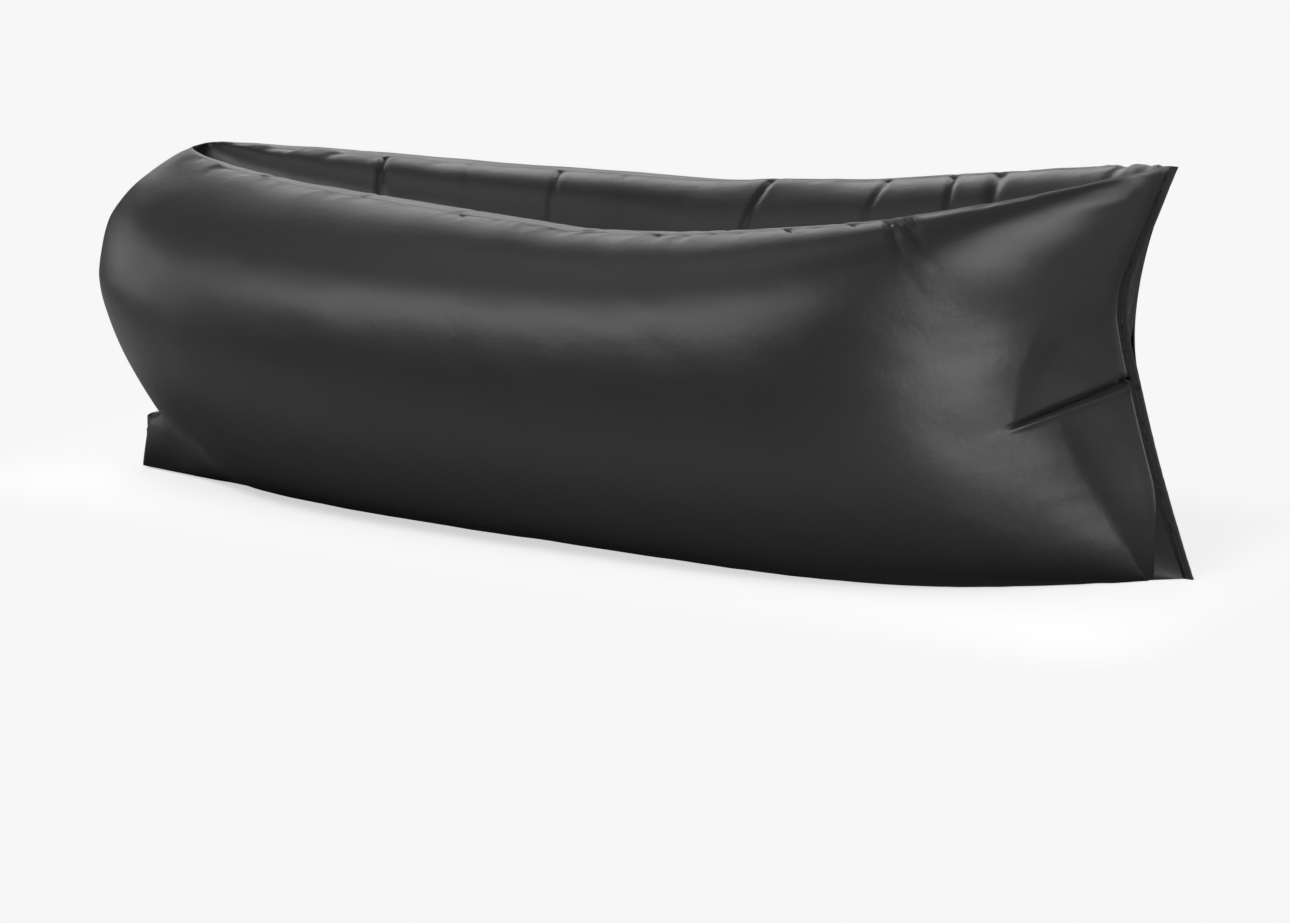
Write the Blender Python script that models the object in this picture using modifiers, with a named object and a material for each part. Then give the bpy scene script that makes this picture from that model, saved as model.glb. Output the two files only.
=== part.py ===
"""Inflatable air lounger: two air-filled fabric tubes sewn side by side, with a rolled and buckled mouth.

+X points from the rolled mouth to the sewn end, +Y from the near tube to the far one, +Z up.
The origin is on the floor, under the middle of the whole lounger. Every size is in metres.
"""

from math import cos, hypot, pi, radians, sin

import bmesh
import bpy
from mathutils import Matrix, Vector

# Whole lounger, filled with air
LENGTH = 2.044
LONG_SIDE = 1.0311  # from the fullest section to the sewn end's floor corner
TUBE_THICKNESS = 0.486
MIDDLE_HEIGHT = 0.5165
SEWN_END_HEIGHT = 0.675
MOUTH_END_HEIGHT = 0.539

# Fabric, film and the gaps that neighbours keep
FABRIC_THICKNESS = 0.0006
FILM_THICKNESS = 0.0004
SEAM_GAP = 0.0005
CLEARANCE = 0.0003
BLADDER_CLEARANCE = 0.0006
BLADDER_SEAL_WIDTH = 0.007  # the sealed edges' distance from the panels' seams

# Sewn end: its edge is drawn in between two sharp corners
SEWN_EDGE_DEPTH = 0.1225
SEWN_LEAN_DEPTH = 0.048
SEAM_FLANGE_WIDTH = 0.014
BINDING_DEPTH = 0.012
BINDING_WALL = 0.0008
BINDING_RISE_HEIGHT = 0.002

# Mouth end: its edge rounds off at the top and is tucked in over the roll
MOUTH_TUCK_DEPTH = 0.28
TUCK_TOP_HEIGHT = 0.35
TOP_CUT_DEPTH = 0.1026
TOP_CUT_FROM_HEIGHT = 0.4066
MOUTH_SETBACK_DEPTH = 0.003  # the inner panel's edge stands this far behind the outer one's, inside the lapped seam

# How the tube's form runs along it: powers and shares, with no unit
SEWN_THICKNESS_POWER = 4.05
SEWN_THICKNESS_FALL = 1.08
MOUTH_THICKNESS_POWER = 2.525
MOUTH_THICKNESS_FALL = 0.3275
SEWN_HEIGHT_POWER = 1.4565
MOUTH_HEIGHT_POWER = 3.82
SEWN_EDGE_POWER = 2.585
MOUTH_EDGE_POWER = 3.2
ROUNDNESS = 2.24
SEWN_WAIST_SHARE = 0.619  # of the sewn end's height, where it is drawn in the most
BELOW_WAIST_POWER = 1.302
ABOVE_WAIST_POWER = 1.419
SEWN_RIDGE_SKEW = 0.169  # the ridges part towards the sewn end
MOUTH_RIDGE_SKEW = 1.016  # and draw together towards the mouth
MOUTH_RIDGE_POWER = 1.177
TUCK_POWER = 1.5
FLOOR_SHARE = 0.0118  # of a section's height, pressed flat by the floor
TURN_SHARES = (0.0, 0.065, 0.155, 0.265, 0.385, 0.5, 0.615, 0.735, 0.84, 0.925, 1.0)
STATIONS = 30
BLADDER_FIRST_STATION = 4
BLADDER_LAST_STATION = 25

# Rolled mouth
ROLL_HALF_LENGTH = 0.22
ROLL_FROM_END = 0.147  # the roll's middle
ROLL_BOW_DEPTH = 0.010
ROLL_HALF_HEIGHT = 0.048
ROLL_LIFT_HEIGHT = 0.0005
ROLL_TURNS = 3
ROLL_STEPS = 12  # per turn
ROLL_SHARES = (-1.0, -0.667, -0.333, 0.0, 0.333, 0.667, 1.0)  # between the webbing's two roots
LAYER_THICKNESS = 0.0042  # the fabric and film layers that lie on each other in one turn
LAYER_GAP = 0.0006
STIFFENER_THICKNESS = 0.0012
STIFFENER_HEIGHT = 0.038
STIFFENER_INSET_LENGTH = 0.004
NECK_HALF_WIDTH = 0.212
NECK_ARC_STEPS = ((-2, -1), (-1, -1), (0, -1), (0, 1), (1, 1))  # the roll's own steps, up its back
NECK_FRONT_SHARES = (0.0, 0.3, 0.55, 0.75, 0.88, 0.96, 1.0)  # of its height, down the tubes' tucked end
NECK_STEPS = 3  # between neighbouring places of the roll
NECK_FLOOR_GAP = 0.005
NECK_TUBE_GAP = 0.0017

# Webbing
WEBBING_THICKNESS = 0.0013
WEBBING_WIDTH = 0.025
WEBBING_ROOT_LENGTH = 0.040  # sewn in, inside the roll
WEBBING_BEND_RADIUS = 0.004
WEBBING_OVERHANG_LENGTH = 0.007
WEBBING_RETURN_LENGTH = 0.026
WEBBING_BEND_STEPS = 4
LOOP_BEND_RADIUS = 0.001  # tight, round the buckle's bar

# Side-release buckle
BUCKLE_WIDTH = 0.032
BUCKLE_THICKNESS = 0.0105
BUCKLE_EDGE_RADIUS = 0.0016
MALE_BASE_LENGTH = 0.0215
MALE_BASE_THICKNESS = 0.0088
MALE_SLOT_LENGTH = 0.012
BAR_LENGTH = 0.0036
BAR_THICKNESS = 0.003
RAIL_WIDTH = 0.0028
GUIDE_LENGTH = 0.0185
GUIDE_WIDTH = 0.0046
GUIDE_THICKNESS = 0.003
FEMALE_LENGTH = 0.036
FEMALE_WALL = 0.0018
FEMALE_SIDE_WALL = 0.0026
CAVITY_LENGTH = 0.0215
WINDOW_FROM = 0.008
WINDOW_TO = 0.0195
FEMALE_SLOT_LENGTH = 0.0056
PRONG_THICKNESS = 0.0052
PRONG_PIVOT_DEPTH = 0.0020
PRONG_PIVOT_OUT = 0.0096
PRONG_PIVOT_RADIUS = 0.0016
PRONG_ARM = 0.0022
PRONG_HEAD_FROM = 0.0086
PRONG_HEAD_TO = 0.0185
PRONG_HEAD_INNER = 0.0088
PRONG_PAD_OUT = 0.0168
PRONG_TIP_OUT = 0.0112
PRONG_SWING = radians(13)
CUTTER_LENGTH = 0.004  # how far a cutter runs past what it cuts

NORMAL_STEP_SHARE = 0.0005
BISECTIONS = 24

MOUTH_X = -LENGTH / 2
MIDDLE_X = LENGTH / 2 - BINDING_WALL - CLEARANCE - LONG_SIDE
SHORT_SIDE = MIDDLE_X - MOUTH_X
ROLL_X = MOUTH_X + ROLL_FROM_END
PITCH = LAYER_THICKNESS + LAYER_GAP
CORE_HALF_DEPTH = WEBBING_THICKNESS / 2 + STIFFENER_THICKNESS + 2 * CLEARANCE
ROLL_HALF_DEPTH = CORE_HALF_DEPTH + ROLL_TURNS * PITCH + LAYER_THICKNESS
ROLL_STRAIGHT = ROLL_HALF_HEIGHT - ROLL_HALF_DEPTH
ROLL_Z = ROLL_HALF_HEIGHT + ROLL_LIFT_HEIGHT
STRAP_X = ROLL_X - ROLL_BOW_DEPTH - ROLL_HALF_DEPTH - CLEARANCE - WEBBING_THICKNESS / 2
BUCKLE_MIDDLE = (FEMALE_LENGTH - MALE_BASE_LENGTH) / 2


def collection(name):
    made = bpy.data.collections.new(name)
    bpy.context.scene.collection.children.link(made)
    return made


def material(name, colour, roughness, metallic=0.0):
    made = bpy.data.materials.new(name)
    made.use_nodes = True
    shader = made.node_tree.nodes["Principled BSDF"]
    shader.inputs["Base Color"].default_value = (*colour, 1.0)
    shader.inputs["Roughness"].default_value = roughness
    shader.inputs["Metallic"].default_value = metallic
    return made


def place(name, mesh, finish, where=None, matrix=None):
    made = bpy.data.objects.new(name, mesh)
    (where or PARTS).objects.link(made)
    if finish:
        mesh.materials.append(finish)
    if matrix:
        made.matrix_world = matrix
    return made


def shade(mesh, angle=radians(35)):
    mesh.shade_smooth()
    mesh.set_sharp_from_angle(angle=angle)


def mesh_of(name, bm):
    mesh = bpy.data.meshes.new(name)
    bm.to_mesh(mesh)
    bm.free()
    return mesh


def signed_power(value, power):
    return (1 if value >= 0 else -1) * abs(value) ** power


def blend(a, b, share):
    return a + (b - a) * share


def near_point(along, turn, outer):
    """A point of the near tube's fabric. along runs from -1 at the mouth to 1 at the sewn end, turn once round
    from the floor up the outer side. The outer panel lies a little further out than the inner one, so that the
    two lie flat on each other where they are sewn together."""
    s = sin(along * pi / 2)
    a = abs(s)
    sewn = s > 0
    power = SEWN_THICKNESS_POWER if sewn else MOUTH_THICKNESS_POWER
    fall = SEWN_THICKNESS_FALL if sewn else MOUTH_THICKNESS_FALL
    fullness = max(1 - a**power, 0) ** fall
    thickness = TUBE_THICKNESS * fullness
    floor_share = FLOOR_SHARE * fullness
    end_height = SEWN_END_HEIGHT if sewn else MOUTH_END_HEIGHT
    height = blend(MIDDLE_HEIGHT, end_height, a ** (SEWN_HEIGHT_POWER if sewn else MOUTH_HEIGHT_POWER))
    side = signed_power(sin(turn), 2 / ROUNDNESS)
    rise = -signed_power(cos(turn), 2 / ROUNDNESS)
    level = max((1 + rise) / 2 - floor_share, 0) / (1 - floor_share)
    z = height * level
    skew = -SEWN_RIDGE_SKEW * 4 * s**2 * (1 - s**2) if sewn else MOUTH_RIDGE_SKEW * a**MOUTH_RIDGE_POWER
    outwards = max((1 + side) / 2, 0) ** (1 + skew * level**2)
    parting = SEAM_GAP + 2 * FABRIC_THICKNESS * (1 - fullness) if outer else 0
    y = -SEAM_GAP / 2 - parting - thickness * outwards
    if sewn:
        below = max(1 - level / SEWN_WAIST_SHARE, 0) ** BELOW_WAIST_POWER
        above = (max(level - SEWN_WAIST_SHARE, 0) / (1 - SEWN_WAIST_SHARE)) ** ABOVE_WAIST_POWER
        draw = SEWN_EDGE_DEPTH * (1 - below) - (SEWN_EDGE_DEPTH - SEWN_LEAN_DEPTH) * above
        x = MIDDLE_X + s * (LONG_SIDE - SEAM_FLANGE_WIDTH) - a**SEWN_EDGE_POWER * draw
    else:
        tuck = MOUTH_TUCK_DEPTH * max(1 - z / TUCK_TOP_HEIGHT, 0) ** TUCK_POWER
        top = max(z - TOP_CUT_FROM_HEIGHT, 0) / (MOUTH_END_HEIGHT - TOP_CUT_FROM_HEIGHT)
        setback = 0 if outer else MOUTH_SETBACK_DEPTH * (1 - fullness)
        x = MIDDLE_X + s * SHORT_SIDE + a**MOUTH_EDGE_POWER * (tuck + TOP_CUT_DEPTH * top**2) + setback
    return Vector((x, y, z))


def near_normal(along, turn, outer):
    low, high = max(along - NORMAL_STEP_SHARE, -1), min(along + NORMAL_STEP_SHARE, 1)
    lengthwise = near_point(high, turn, outer) - near_point(low, turn, outer)
    around = near_point(along, turn + NORMAL_STEP_SHARE, outer) - near_point(along, turn - NORMAL_STEP_SHARE, outer)
    return lengthwise.cross(around).normalized()


def turns(outer):
    return [pi * (share if outer else 1 + share) for share in TURN_SHARES]


def station(index):
    return 2 * index / STATIONS - 1


def mirrored(rows, side):
    return [[Vector((p.x, -side * p.y, p.z)) for p in row] for row in rows]


def add_grid(bm, rows, flip, closed=False):
    """Triangles between neighbouring rows of points, all split the same way so that a skin laid inside another
    keeps its gap. Returns the rows of vertices."""
    made = [[bm.verts.new(p) for p in row] for row in rows]
    for lower, upper in zip(made, made[1:]):
        last = len(lower) if closed else len(lower) - 1
        for i in range(last):
            j = (i + 1) % len(lower)
            for corners in ([lower[i], upper[i], upper[j]], [lower[i], upper[j], lower[j]]):
                bm.faces.new(corners[::-1] if flip else corners)
    return made


def add_flat_end(bm, ring, flip):
    """Closes a ring with a strip of quads between its two halves."""
    half = len(ring) // 2
    for i in range(half - 1):
        corners = [ring[i], ring[i + 1], ring[-2 - i], ring[-1 - i]]
        bm.faces.new(corners[::-1] if flip else corners)


def thicken(made, thickness, offset):
    wall = made.modifiers.new("Wall", "SOLIDIFY")
    wall.thickness = thickness
    wall.offset = offset
    wall.use_even_offset = True
    wall.use_rim = True


def tube_panel(name, side, outer):
    """One sewn panel of a tube: side is -1 for the near tube and 1 for the far one."""
    rows = [[near_point(station(i), turn, outer) for turn in turns(outer)] for i in range(STATIONS + 1)]
    rows.append([p + Vector((SEAM_FLANGE_WIDTH, 0, 0)) for p in rows[-1]])
    bm = bmesh.new()
    add_grid(bm, mirrored(rows, side), flip=side > 0)
    mesh = mesh_of(name, bm)
    shade(mesh)
    made = place(name, mesh, FABRIC_FINISH)
    thicken(made, FABRIC_THICKNESS, -1)
    return made


def loop_point(along, turn, outer, inset):
    point = near_point(along, turn, outer)
    return point - inset * near_normal(along, turn, outer)


def bladder(name, side):
    """A tube of thin film inside the fabric, heat-sealed at the sewn end and open at the mouth."""
    inset = FABRIC_THICKNESS + BLADDER_CLEARANCE
    rows = []
    for i in range(BLADDER_FIRST_STATION, BLADDER_LAST_STATION + 1):
        row = [loop_point(station(i), turn, outer, inset) for outer in (True, False) for turn in turns(outer)]
        top = len(TURN_SHARES) - 1
        for ridge in (row[top], row[top + 1]):
            ridge.z -= BLADDER_SEAL_WIDTH
        for point in row:
            point.z = max(point.z, BLADDER_SEAL_WIDTH)
        rows.append(row)
    bm = bmesh.new()
    made_rows = add_grid(bm, mirrored(rows, side), flip=side > 0, closed=True)
    add_flat_end(bm, made_rows[-1], flip=side < 0)
    mesh = mesh_of(name, bm)
    shade(mesh)
    made = place(name, mesh, FILM_FINISH)
    thicken(made, FILM_THICKNESS, -1)
    return made


def sweep(name, sections, finish, where=None):
    """A closed solid through sections of as many points each, capped at both ends."""
    bm = bmesh.new()
    made_rows = add_grid(bm, sections, flip=False, closed=True)
    bm.faces.new(made_rows[0])
    bm.faces.new(made_rows[-1][::-1])
    bmesh.ops.recalc_face_normals(bm, faces=bm.faces)
    mesh = mesh_of(name, bm)
    shade(mesh)
    return place(name, mesh, finish, where)


def end_binding():
    """Tape folded over the sewn end's four edges; it follows their drawn-in curve."""
    inner = SEAM_GAP / 2 + SEAM_GAP + 2 * FABRIC_THICKNESS + CLEARANCE
    outer = inner + BINDING_WALL
    sections = []
    for turn in turns(True):
        edge = near_point(1, turn, True)
        top = edge.x + SEAM_FLANGE_WIDTH + CLEARANCE
        z = blend(BINDING_RISE_HEIGHT, SEWN_END_HEIGHT, edge.z / SEWN_END_HEIGHT)
        profile = [
            (top - BINDING_DEPTH, -outer),
            (top + BINDING_WALL, -outer),
            (top + BINDING_WALL, outer),
            (top - BINDING_DEPTH, outer),
            (top - BINDING_DEPTH, inner),
            (top, inner),
            (top, -inner),
            (top - BINDING_DEPTH, -inner),
        ]
        if not sections or z > sections[-1][0].z:
            sections.append([Vector((x, y, z)) for x, y in profile])
    return sweep("end_binding", sections, TRIM_FINISH)


def roll_stations(half):
    """Places along the roll, with one where the webbing's sewn root ends."""
    root = ROLL_HALF_LENGTH - WEBBING_ROOT_LENGTH
    inner = [root * share for share in ROLL_SHARES]
    return [-half, *inner, half]


def roll_centre(y):
    return ROLL_X - ROLL_BOW_DEPTH * (y / ROLL_HALF_LENGTH) ** 2


def along_roll(profile, half):
    """Sections of a profile of (x, z) points about the roll's middle line. Its outermost stretch is straight."""
    root = ROLL_HALF_LENGTH - WEBBING_ROOT_LENGTH
    lean = (roll_centre(ROLL_HALF_LENGTH) - roll_centre(root)) / WEBBING_ROOT_LENGTH
    sections = []
    for y in roll_stations(half):
        centre = roll_centre(y) if abs(y) <= root else roll_centre(root) + lean * (abs(y) - root)
        sections.append([Vector((centre + x, y, ROLL_Z + z)) for x, z in profile])
    return sections


def stadium_spiral(offset):
    """Points of a flattened spiral, whose radius grows by one pitch each turn, moved out by offset."""
    points = []
    for step in range(ROLL_TURNS * ROLL_STEPS + 1):
        angle = 2 * pi * step / ROLL_STEPS
        radius = CORE_HALF_DEPTH + LAYER_THICKNESS / 2 + PITCH * step / ROLL_STEPS + offset
        quarter = step % (ROLL_STEPS // 2)
        upper = sin(angle + pi / ROLL_STEPS) > 0
        centres = [ROLL_STRAIGHT if upper else -ROLL_STRAIGHT]
        if quarter == 0:
            centres = [-centres[0], centres[0]]
        points += [(radius * cos(angle), radius * sin(angle) + centre) for centre in centres]
    return points


def rolled_mouth():
    """The mouth's hems, rolled up three turns round the stiffeners."""
    outside = stadium_spiral(LAYER_THICKNESS / 2)
    inside = stadium_spiral(-LAYER_THICKNESS / 2)
    gap = min(
        hypot(p[0] - q[0], p[1] - q[1])
        for i, p in enumerate(outside)
        for j, q in enumerate(inside)
        if j > i + ROLL_STEPS // 2
    )
    print(f"least gap between the roll's turns: {gap * 1000:.2f} mm")
    return sweep("rolled_mouth", along_roll(outside + inside[::-1], ROLL_HALF_LENGTH), FABRIC_FINISH)


def mouth_stiffener(name, side):
    inner = side * (WEBBING_THICKNESS / 2 + CLEARANCE)
    outer = side * (WEBBING_THICKNESS / 2 + CLEARANCE + STIFFENER_THICKNESS)
    half = STIFFENER_HEIGHT / 2
    profile = [(inner, -half), (outer, -half), (outer, half), (inner, half)]
    return sweep(name, along_roll(profile, ROLL_HALF_LENGTH - STIFFENER_INSET_LENGTH), STIFFENER_FINISH)


def boolean(made, cutter, operation="DIFFERENCE"):
    cut = made.modifiers.new("Cut", "BOOLEAN")
    cut.operation = operation
    cut.solver = "EXACT"
    cut.object = cutter
    cutter.hide_render = True
    cutter.display_type = "WIRE"


def tube_front(y, z):
    """How far the tubes' tucked mouth end reaches in x, at a distance from the middle plane and a height."""
    first, last = -1.0, -0.3
    for _ in range(BISECTIONS):
        along = (first + last) / 2
        low, high = 0.0, pi / 2
        for _ in range(BISECTIONS):
            turn = (low + high) / 2
            if near_point(along, turn, True).z < z:
                low = turn
            else:
                high = turn
        point = near_point(along, turn, True)
        if point.y < -abs(y):
            last = along
        else:
            first = along
    return point.x


def mouth_neck():
    """Where the two tubes' ends run together, flat, into the roll: it fills the wedge between them and the roll."""
    radius = ROLL_HALF_DEPTH + CLEARANCE
    back = []
    for step, side in NECK_ARC_STEPS:
        angle = 2 * pi * step / ROLL_STEPS
        back.append((radius * cos(angle), radius * sin(angle) + side * ROLL_STRAIGHT))
    coarse = along_roll(back, NECK_HALF_WIDTH)
    sections = []
    for before, after in zip(coarse, coarse[1:]):
        for step in range(NECK_STEPS):
            sections.append([p.lerp(q, step / NECK_STEPS) for p, q in zip(before, after)])
    sections.append(coarse[-1])
    for section in sections:
        y, top = section[0].y, section[-1].z
        for share in NECK_FRONT_SHARES:
            z = blend(top, NECK_FLOOR_GAP, share)
            section.append(Vector((tube_front(y, z) - NECK_TUBE_GAP, y, z)))
    return sweep("mouth_neck", sections, FABRIC_FINISH)


def rounded(points, radii, steps):
    """A path of (x, y) points, each corner between them eased over its own radius."""
    path = [Vector(points[0])]
    for before, corner, after, radius in zip(points, points[1:], points[2:], radii):
        corner = Vector(corner)
        to_before = Vector(before) - corner
        to_after = Vector(after) - corner
        reach = min(radius, to_before.length / 2, to_after.length / 2)
        start = corner + to_before.normalized() * reach
        end = corner + to_after.normalized() * reach
        for step in range(steps + 1):
            share = step / steps
            path.append(start.lerp(corner, share).lerp(corner.lerp(end, share), share))
    path.append(Vector(points[-1]))
    return path


def ribbon(name, path):
    """Webbing that stands on edge along a path in plan."""
    half = WEBBING_WIDTH / 2
    rows = [[Vector((p.x, p.y, ROLL_Z - half)), Vector((p.x, p.y, ROLL_Z + half))] for p in path]
    bm = bmesh.new()
    add_grid(bm, rows, flip=False)
    mesh = mesh_of(name, bm)
    shade(mesh)
    made = place(name, mesh, WEBBING_FINISH)
    thicken(made, WEBBING_THICKNESS, 0)
    return made


def webbing_strap(name, side, bar_y):
    """From its root in the roll, round the roll's end, to and round the buckle's bar, and back on itself."""
    root = ROLL_HALF_LENGTH - WEBBING_ROOT_LENGTH
    root_x = roll_centre(root)
    end_x = roll_centre(ROLL_HALF_LENGTH)
    out_y = side * (ROLL_HALF_LENGTH + WEBBING_OVERHANG_LENGTH)
    half_loop = BAR_THICKNESS / 2 + CLEARANCE + WEBBING_THICKNESS / 2
    turn_y = bar_y - side * (BAR_LENGTH / 2 + CLEARANCE + WEBBING_THICKNESS / 2)
    leave_y = bar_y + side * BAR_LENGTH / 2
    neck_y = leave_y + side * 2 * half_loop
    back_x = STRAP_X - WEBBING_THICKNESS / 2
    return_x = back_x + WEBBING_THICKNESS + CLEARANCE
    points = [
        (root_x, side * root),
        (end_x, side * ROLL_HALF_LENGTH),
        (end_x, out_y),
        (back_x, out_y),
        (back_x, neck_y),
        (STRAP_X - half_loop, leave_y),
        (STRAP_X - half_loop, turn_y),
        (STRAP_X + half_loop, turn_y),
        (STRAP_X + half_loop, leave_y),
        (return_x, neck_y),
        (return_x, neck_y + side * WEBBING_RETURN_LENGTH),
    ]
    radii = [WEBBING_BEND_RADIUS] * 4 + [LOOP_BEND_RADIUS] * 4 + [WEBBING_BEND_RADIUS]
    return ribbon(name, rounded(points, radii, WEBBING_BEND_STEPS))


def buckle_frame(u=0.0, v=0.0):
    """The buckle's own frame: its length along +Y, its width along +Z and its thickness along +X."""
    turned = Matrix(((0, 0, 1), (1, 0, 0), (0, 1, 0))).to_4x4()
    return Matrix.Translation((STRAP_X, u - BUCKLE_MIDDLE, ROLL_Z + v)) @ turned


def block(name, low, high, finish=None, where=None, edge=0.0):
    """A box between two corners in the buckle's frame, its long edges rounded."""
    bm = bmesh.new()
    bmesh.ops.create_cube(bm, size=1)
    size = [h - l for l, h in zip(low, high)]
    middle = [(h + l) / 2 for l, h in zip(low, high)]
    bmesh.ops.scale(bm, vec=size, verts=bm.verts)
    bmesh.ops.translate(bm, vec=middle, verts=bm.verts)
    made = place(name, mesh_of(name, bm), finish, where, buckle_frame())
    if edge:
        bevel = made.modifiers.new("Edges", "BEVEL")
        bevel.width = edge
        bevel.segments = 2
        bevel.limit_method = "ANGLE"
    return made


def cut_block(made, low, high):
    boolean(made, block(f"{made.name}_cutter", low, high, where=CUTTERS))


def buckle_male():
    """The male half's rigid body: a base with the webbing's bar, and the guide between the prongs."""
    half = BUCKLE_WIDTH / 2
    thick = MALE_BASE_THICKNESS / 2
    slot_half = half - RAIL_WIDTH
    made = block("buckle_male", (-MALE_BASE_LENGTH, -half, -thick), (0, half, thick), PLASTIC_FINISH, edge=BUCKLE_EDGE_RADIUS)
    bar_from = BAR_LENGTH - MALE_BASE_LENGTH
    cut_block(made, (bar_from, -slot_half, -thick - CUTTER_LENGTH), (-MALE_SLOT_LENGTH, slot_half, thick + CUTTER_LENGTH))
    for side in (-1, 1):
        low, high = sorted((side * BAR_THICKNESS / 2, side * (thick + CUTTER_LENGTH)))
        cut_block(made, (-MALE_BASE_LENGTH - CUTTER_LENGTH, -slot_half, low), (bar_from + CUTTER_LENGTH / 2, slot_half, high))
        pivot = side * PRONG_PIVOT_OUT
        bm = bmesh.new()
        bore = PRONG_PIVOT_RADIUS + CLEARANCE
        depth = PRONG_THICKNESS + 2 * CLEARANCE
        bmesh.ops.create_cone(bm, cap_ends=True, segments=24, radius1=bore, radius2=bore, depth=depth)
        bmesh.ops.translate(bm, vec=(-PRONG_PIVOT_DEPTH, pivot, 0), verts=bm.verts)
        socket = place(f"socket_cutter_{side}", mesh_of("socket_cutter", bm), None, CUTTERS, buckle_frame())
        boolean(made, socket)
        arm = PRONG_ARM / 2 + CLEARANCE
        swing = PRONG_PIVOT_DEPTH * sin(PRONG_SWING)
        low, high = sorted((pivot + side * arm, pivot - side * (arm + swing)))
        cut_block(made, (-PRONG_PIVOT_DEPTH, low, -depth / 2), (CUTTER_LENGTH, high, depth / 2))
    guide = block(
        "guide_union",
        (-MALE_SLOT_LENGTH / 2, -GUIDE_WIDTH / 2, -GUIDE_THICKNESS / 2),
        (GUIDE_LENGTH, GUIDE_WIDTH / 2, GUIDE_THICKNESS / 2),
        where=CUTTERS,
    )
    boolean(made, guide, "UNION")
    return made


def buckle_female():
    """The female half: a hollow shell with side windows, and the webbing's bar at its closed end."""
    half = BUCKLE_WIDTH / 2
    thick = BUCKLE_THICKNESS / 2
    start = CLEARANCE
    made = block("buckle_female", (start, -half, -thick), (FEMALE_LENGTH, half, thick), PLASTIC_FINISH, edge=BUCKLE_EDGE_RADIUS)
    hollow_v = half - FEMALE_SIDE_WALL
    hollow_w = thick - FEMALE_WALL
    cut_block(made, (start - CUTTER_LENGTH, -hollow_v, -hollow_w), (CAVITY_LENGTH, hollow_v, hollow_w))
    cut_block(made, (WINDOW_FROM, -half - CUTTER_LENGTH, -hollow_w), (WINDOW_TO, half + CUTTER_LENGTH, hollow_w))
    slot_half = half - RAIL_WIDTH
    slot_to = FEMALE_LENGTH - BAR_LENGTH
    cut_block(made, (slot_to - FEMALE_SLOT_LENGTH, -slot_half, -thick - CUTTER_LENGTH), (slot_to, slot_half, thick + CUTTER_LENGTH))
    for side in (-1, 1):
        low, high = sorted((side * BAR_THICKNESS / 2, side * (thick + CUTTER_LENGTH)))
        cut_block(made, (slot_to - CUTTER_LENGTH / 2, -slot_half, low), (FEMALE_LENGTH + CUTTER_LENGTH, slot_half, high))
    return made


def buckle_prong(name, side):
    """A sprung arm of the male half, with its round root, its latch shoulder and its thumb pad."""
    back = PRONG_PIVOT_DEPTH
    arm_in = -PRONG_ARM / 2
    arm_out = PRONG_ARM / 2
    shoulder = PRONG_HEAD_FROM + back
    tip = PRONG_HEAD_TO + back
    head_in = PRONG_HEAD_INNER - PRONG_PIVOT_OUT
    pad = PRONG_PAD_OUT - PRONG_PIVOT_OUT
    tip_out = PRONG_TIP_OUT - PRONG_PIVOT_OUT
    window_shoulder = BUCKLE_WIDTH / 2 - FEMALE_SIDE_WALL - PRONG_PIVOT_OUT
    outline = [(0.0, arm_in)]
    outline += [(shoulder, arm_in), (blend(shoulder, tip, 0.2), head_in), (blend(shoulder, tip, 0.9), head_in)]
    outline += [(tip, blend(head_in, tip_out, 0.3)), (tip, blend(head_in, tip_out, 0.8))]
    outline += [(blend(shoulder, tip, share), blend(tip_out, pad, height)) for share, height in PAD_SHARES]
    outline += [(shoulder, window_shoulder), (shoulder, arm_out), (0.0, arm_out)]
    for step in range(1, 8):
        angle = pi / 2 + pi * step / 8
        outline.append((PRONG_PIVOT_RADIUS * cos(angle), PRONG_PIVOT_RADIUS * sin(angle)))
    curve = bpy.data.curves.new(name, "CURVE")
    curve.dimensions = "2D"
    curve.fill_mode = "BOTH"
    curve.extrude = PRONG_THICKNESS / 2
    spline = curve.splines.new("POLY")
    spline.points.add(len(outline) - 1)
    spline.use_cyclic_u = True
    for point, (u, v) in zip(spline.points, outline):
        point.co = (u, side * v, 0, 1)
    curve.materials.append(PLASTIC_FINISH)
    return place_curve(name, curve, buckle_frame(-back, side * PRONG_PIVOT_OUT))


def place_curve(name, curve, matrix):
    made = bpy.data.objects.new(name, curve)
    PARTS.objects.link(made)
    made.matrix_world = matrix
    return made


PAD_SHARES = ((0.93, 0.25), (0.8, 0.62), (0.62, 0.9), (0.42, 1.0), (0.22, 0.96), (0.06, 0.8))

for old in list(bpy.data.objects):
    bpy.data.objects.remove(old)

PARTS = collection("Inflatable air lounger")
CUTTERS = collection("Cutters")
FABRIC_FINISH = material("Coated ripstop", (0.045, 0.045, 0.047), 0.42)
TRIM_FINISH = material("Binding tape", (0.03, 0.03, 0.031), 0.6)
FILM_FINISH = material("Air film", (0.55, 0.57, 0.6), 0.25)
STIFFENER_FINISH = material("Stiffener strip", (0.6, 0.6, 0.58), 0.4)
WEBBING_FINISH = material("Webbing", (0.02, 0.02, 0.021), 0.75)
PLASTIC_FINISH = material("Moulded plastic", (0.018, 0.018, 0.019), 0.35)

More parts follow.
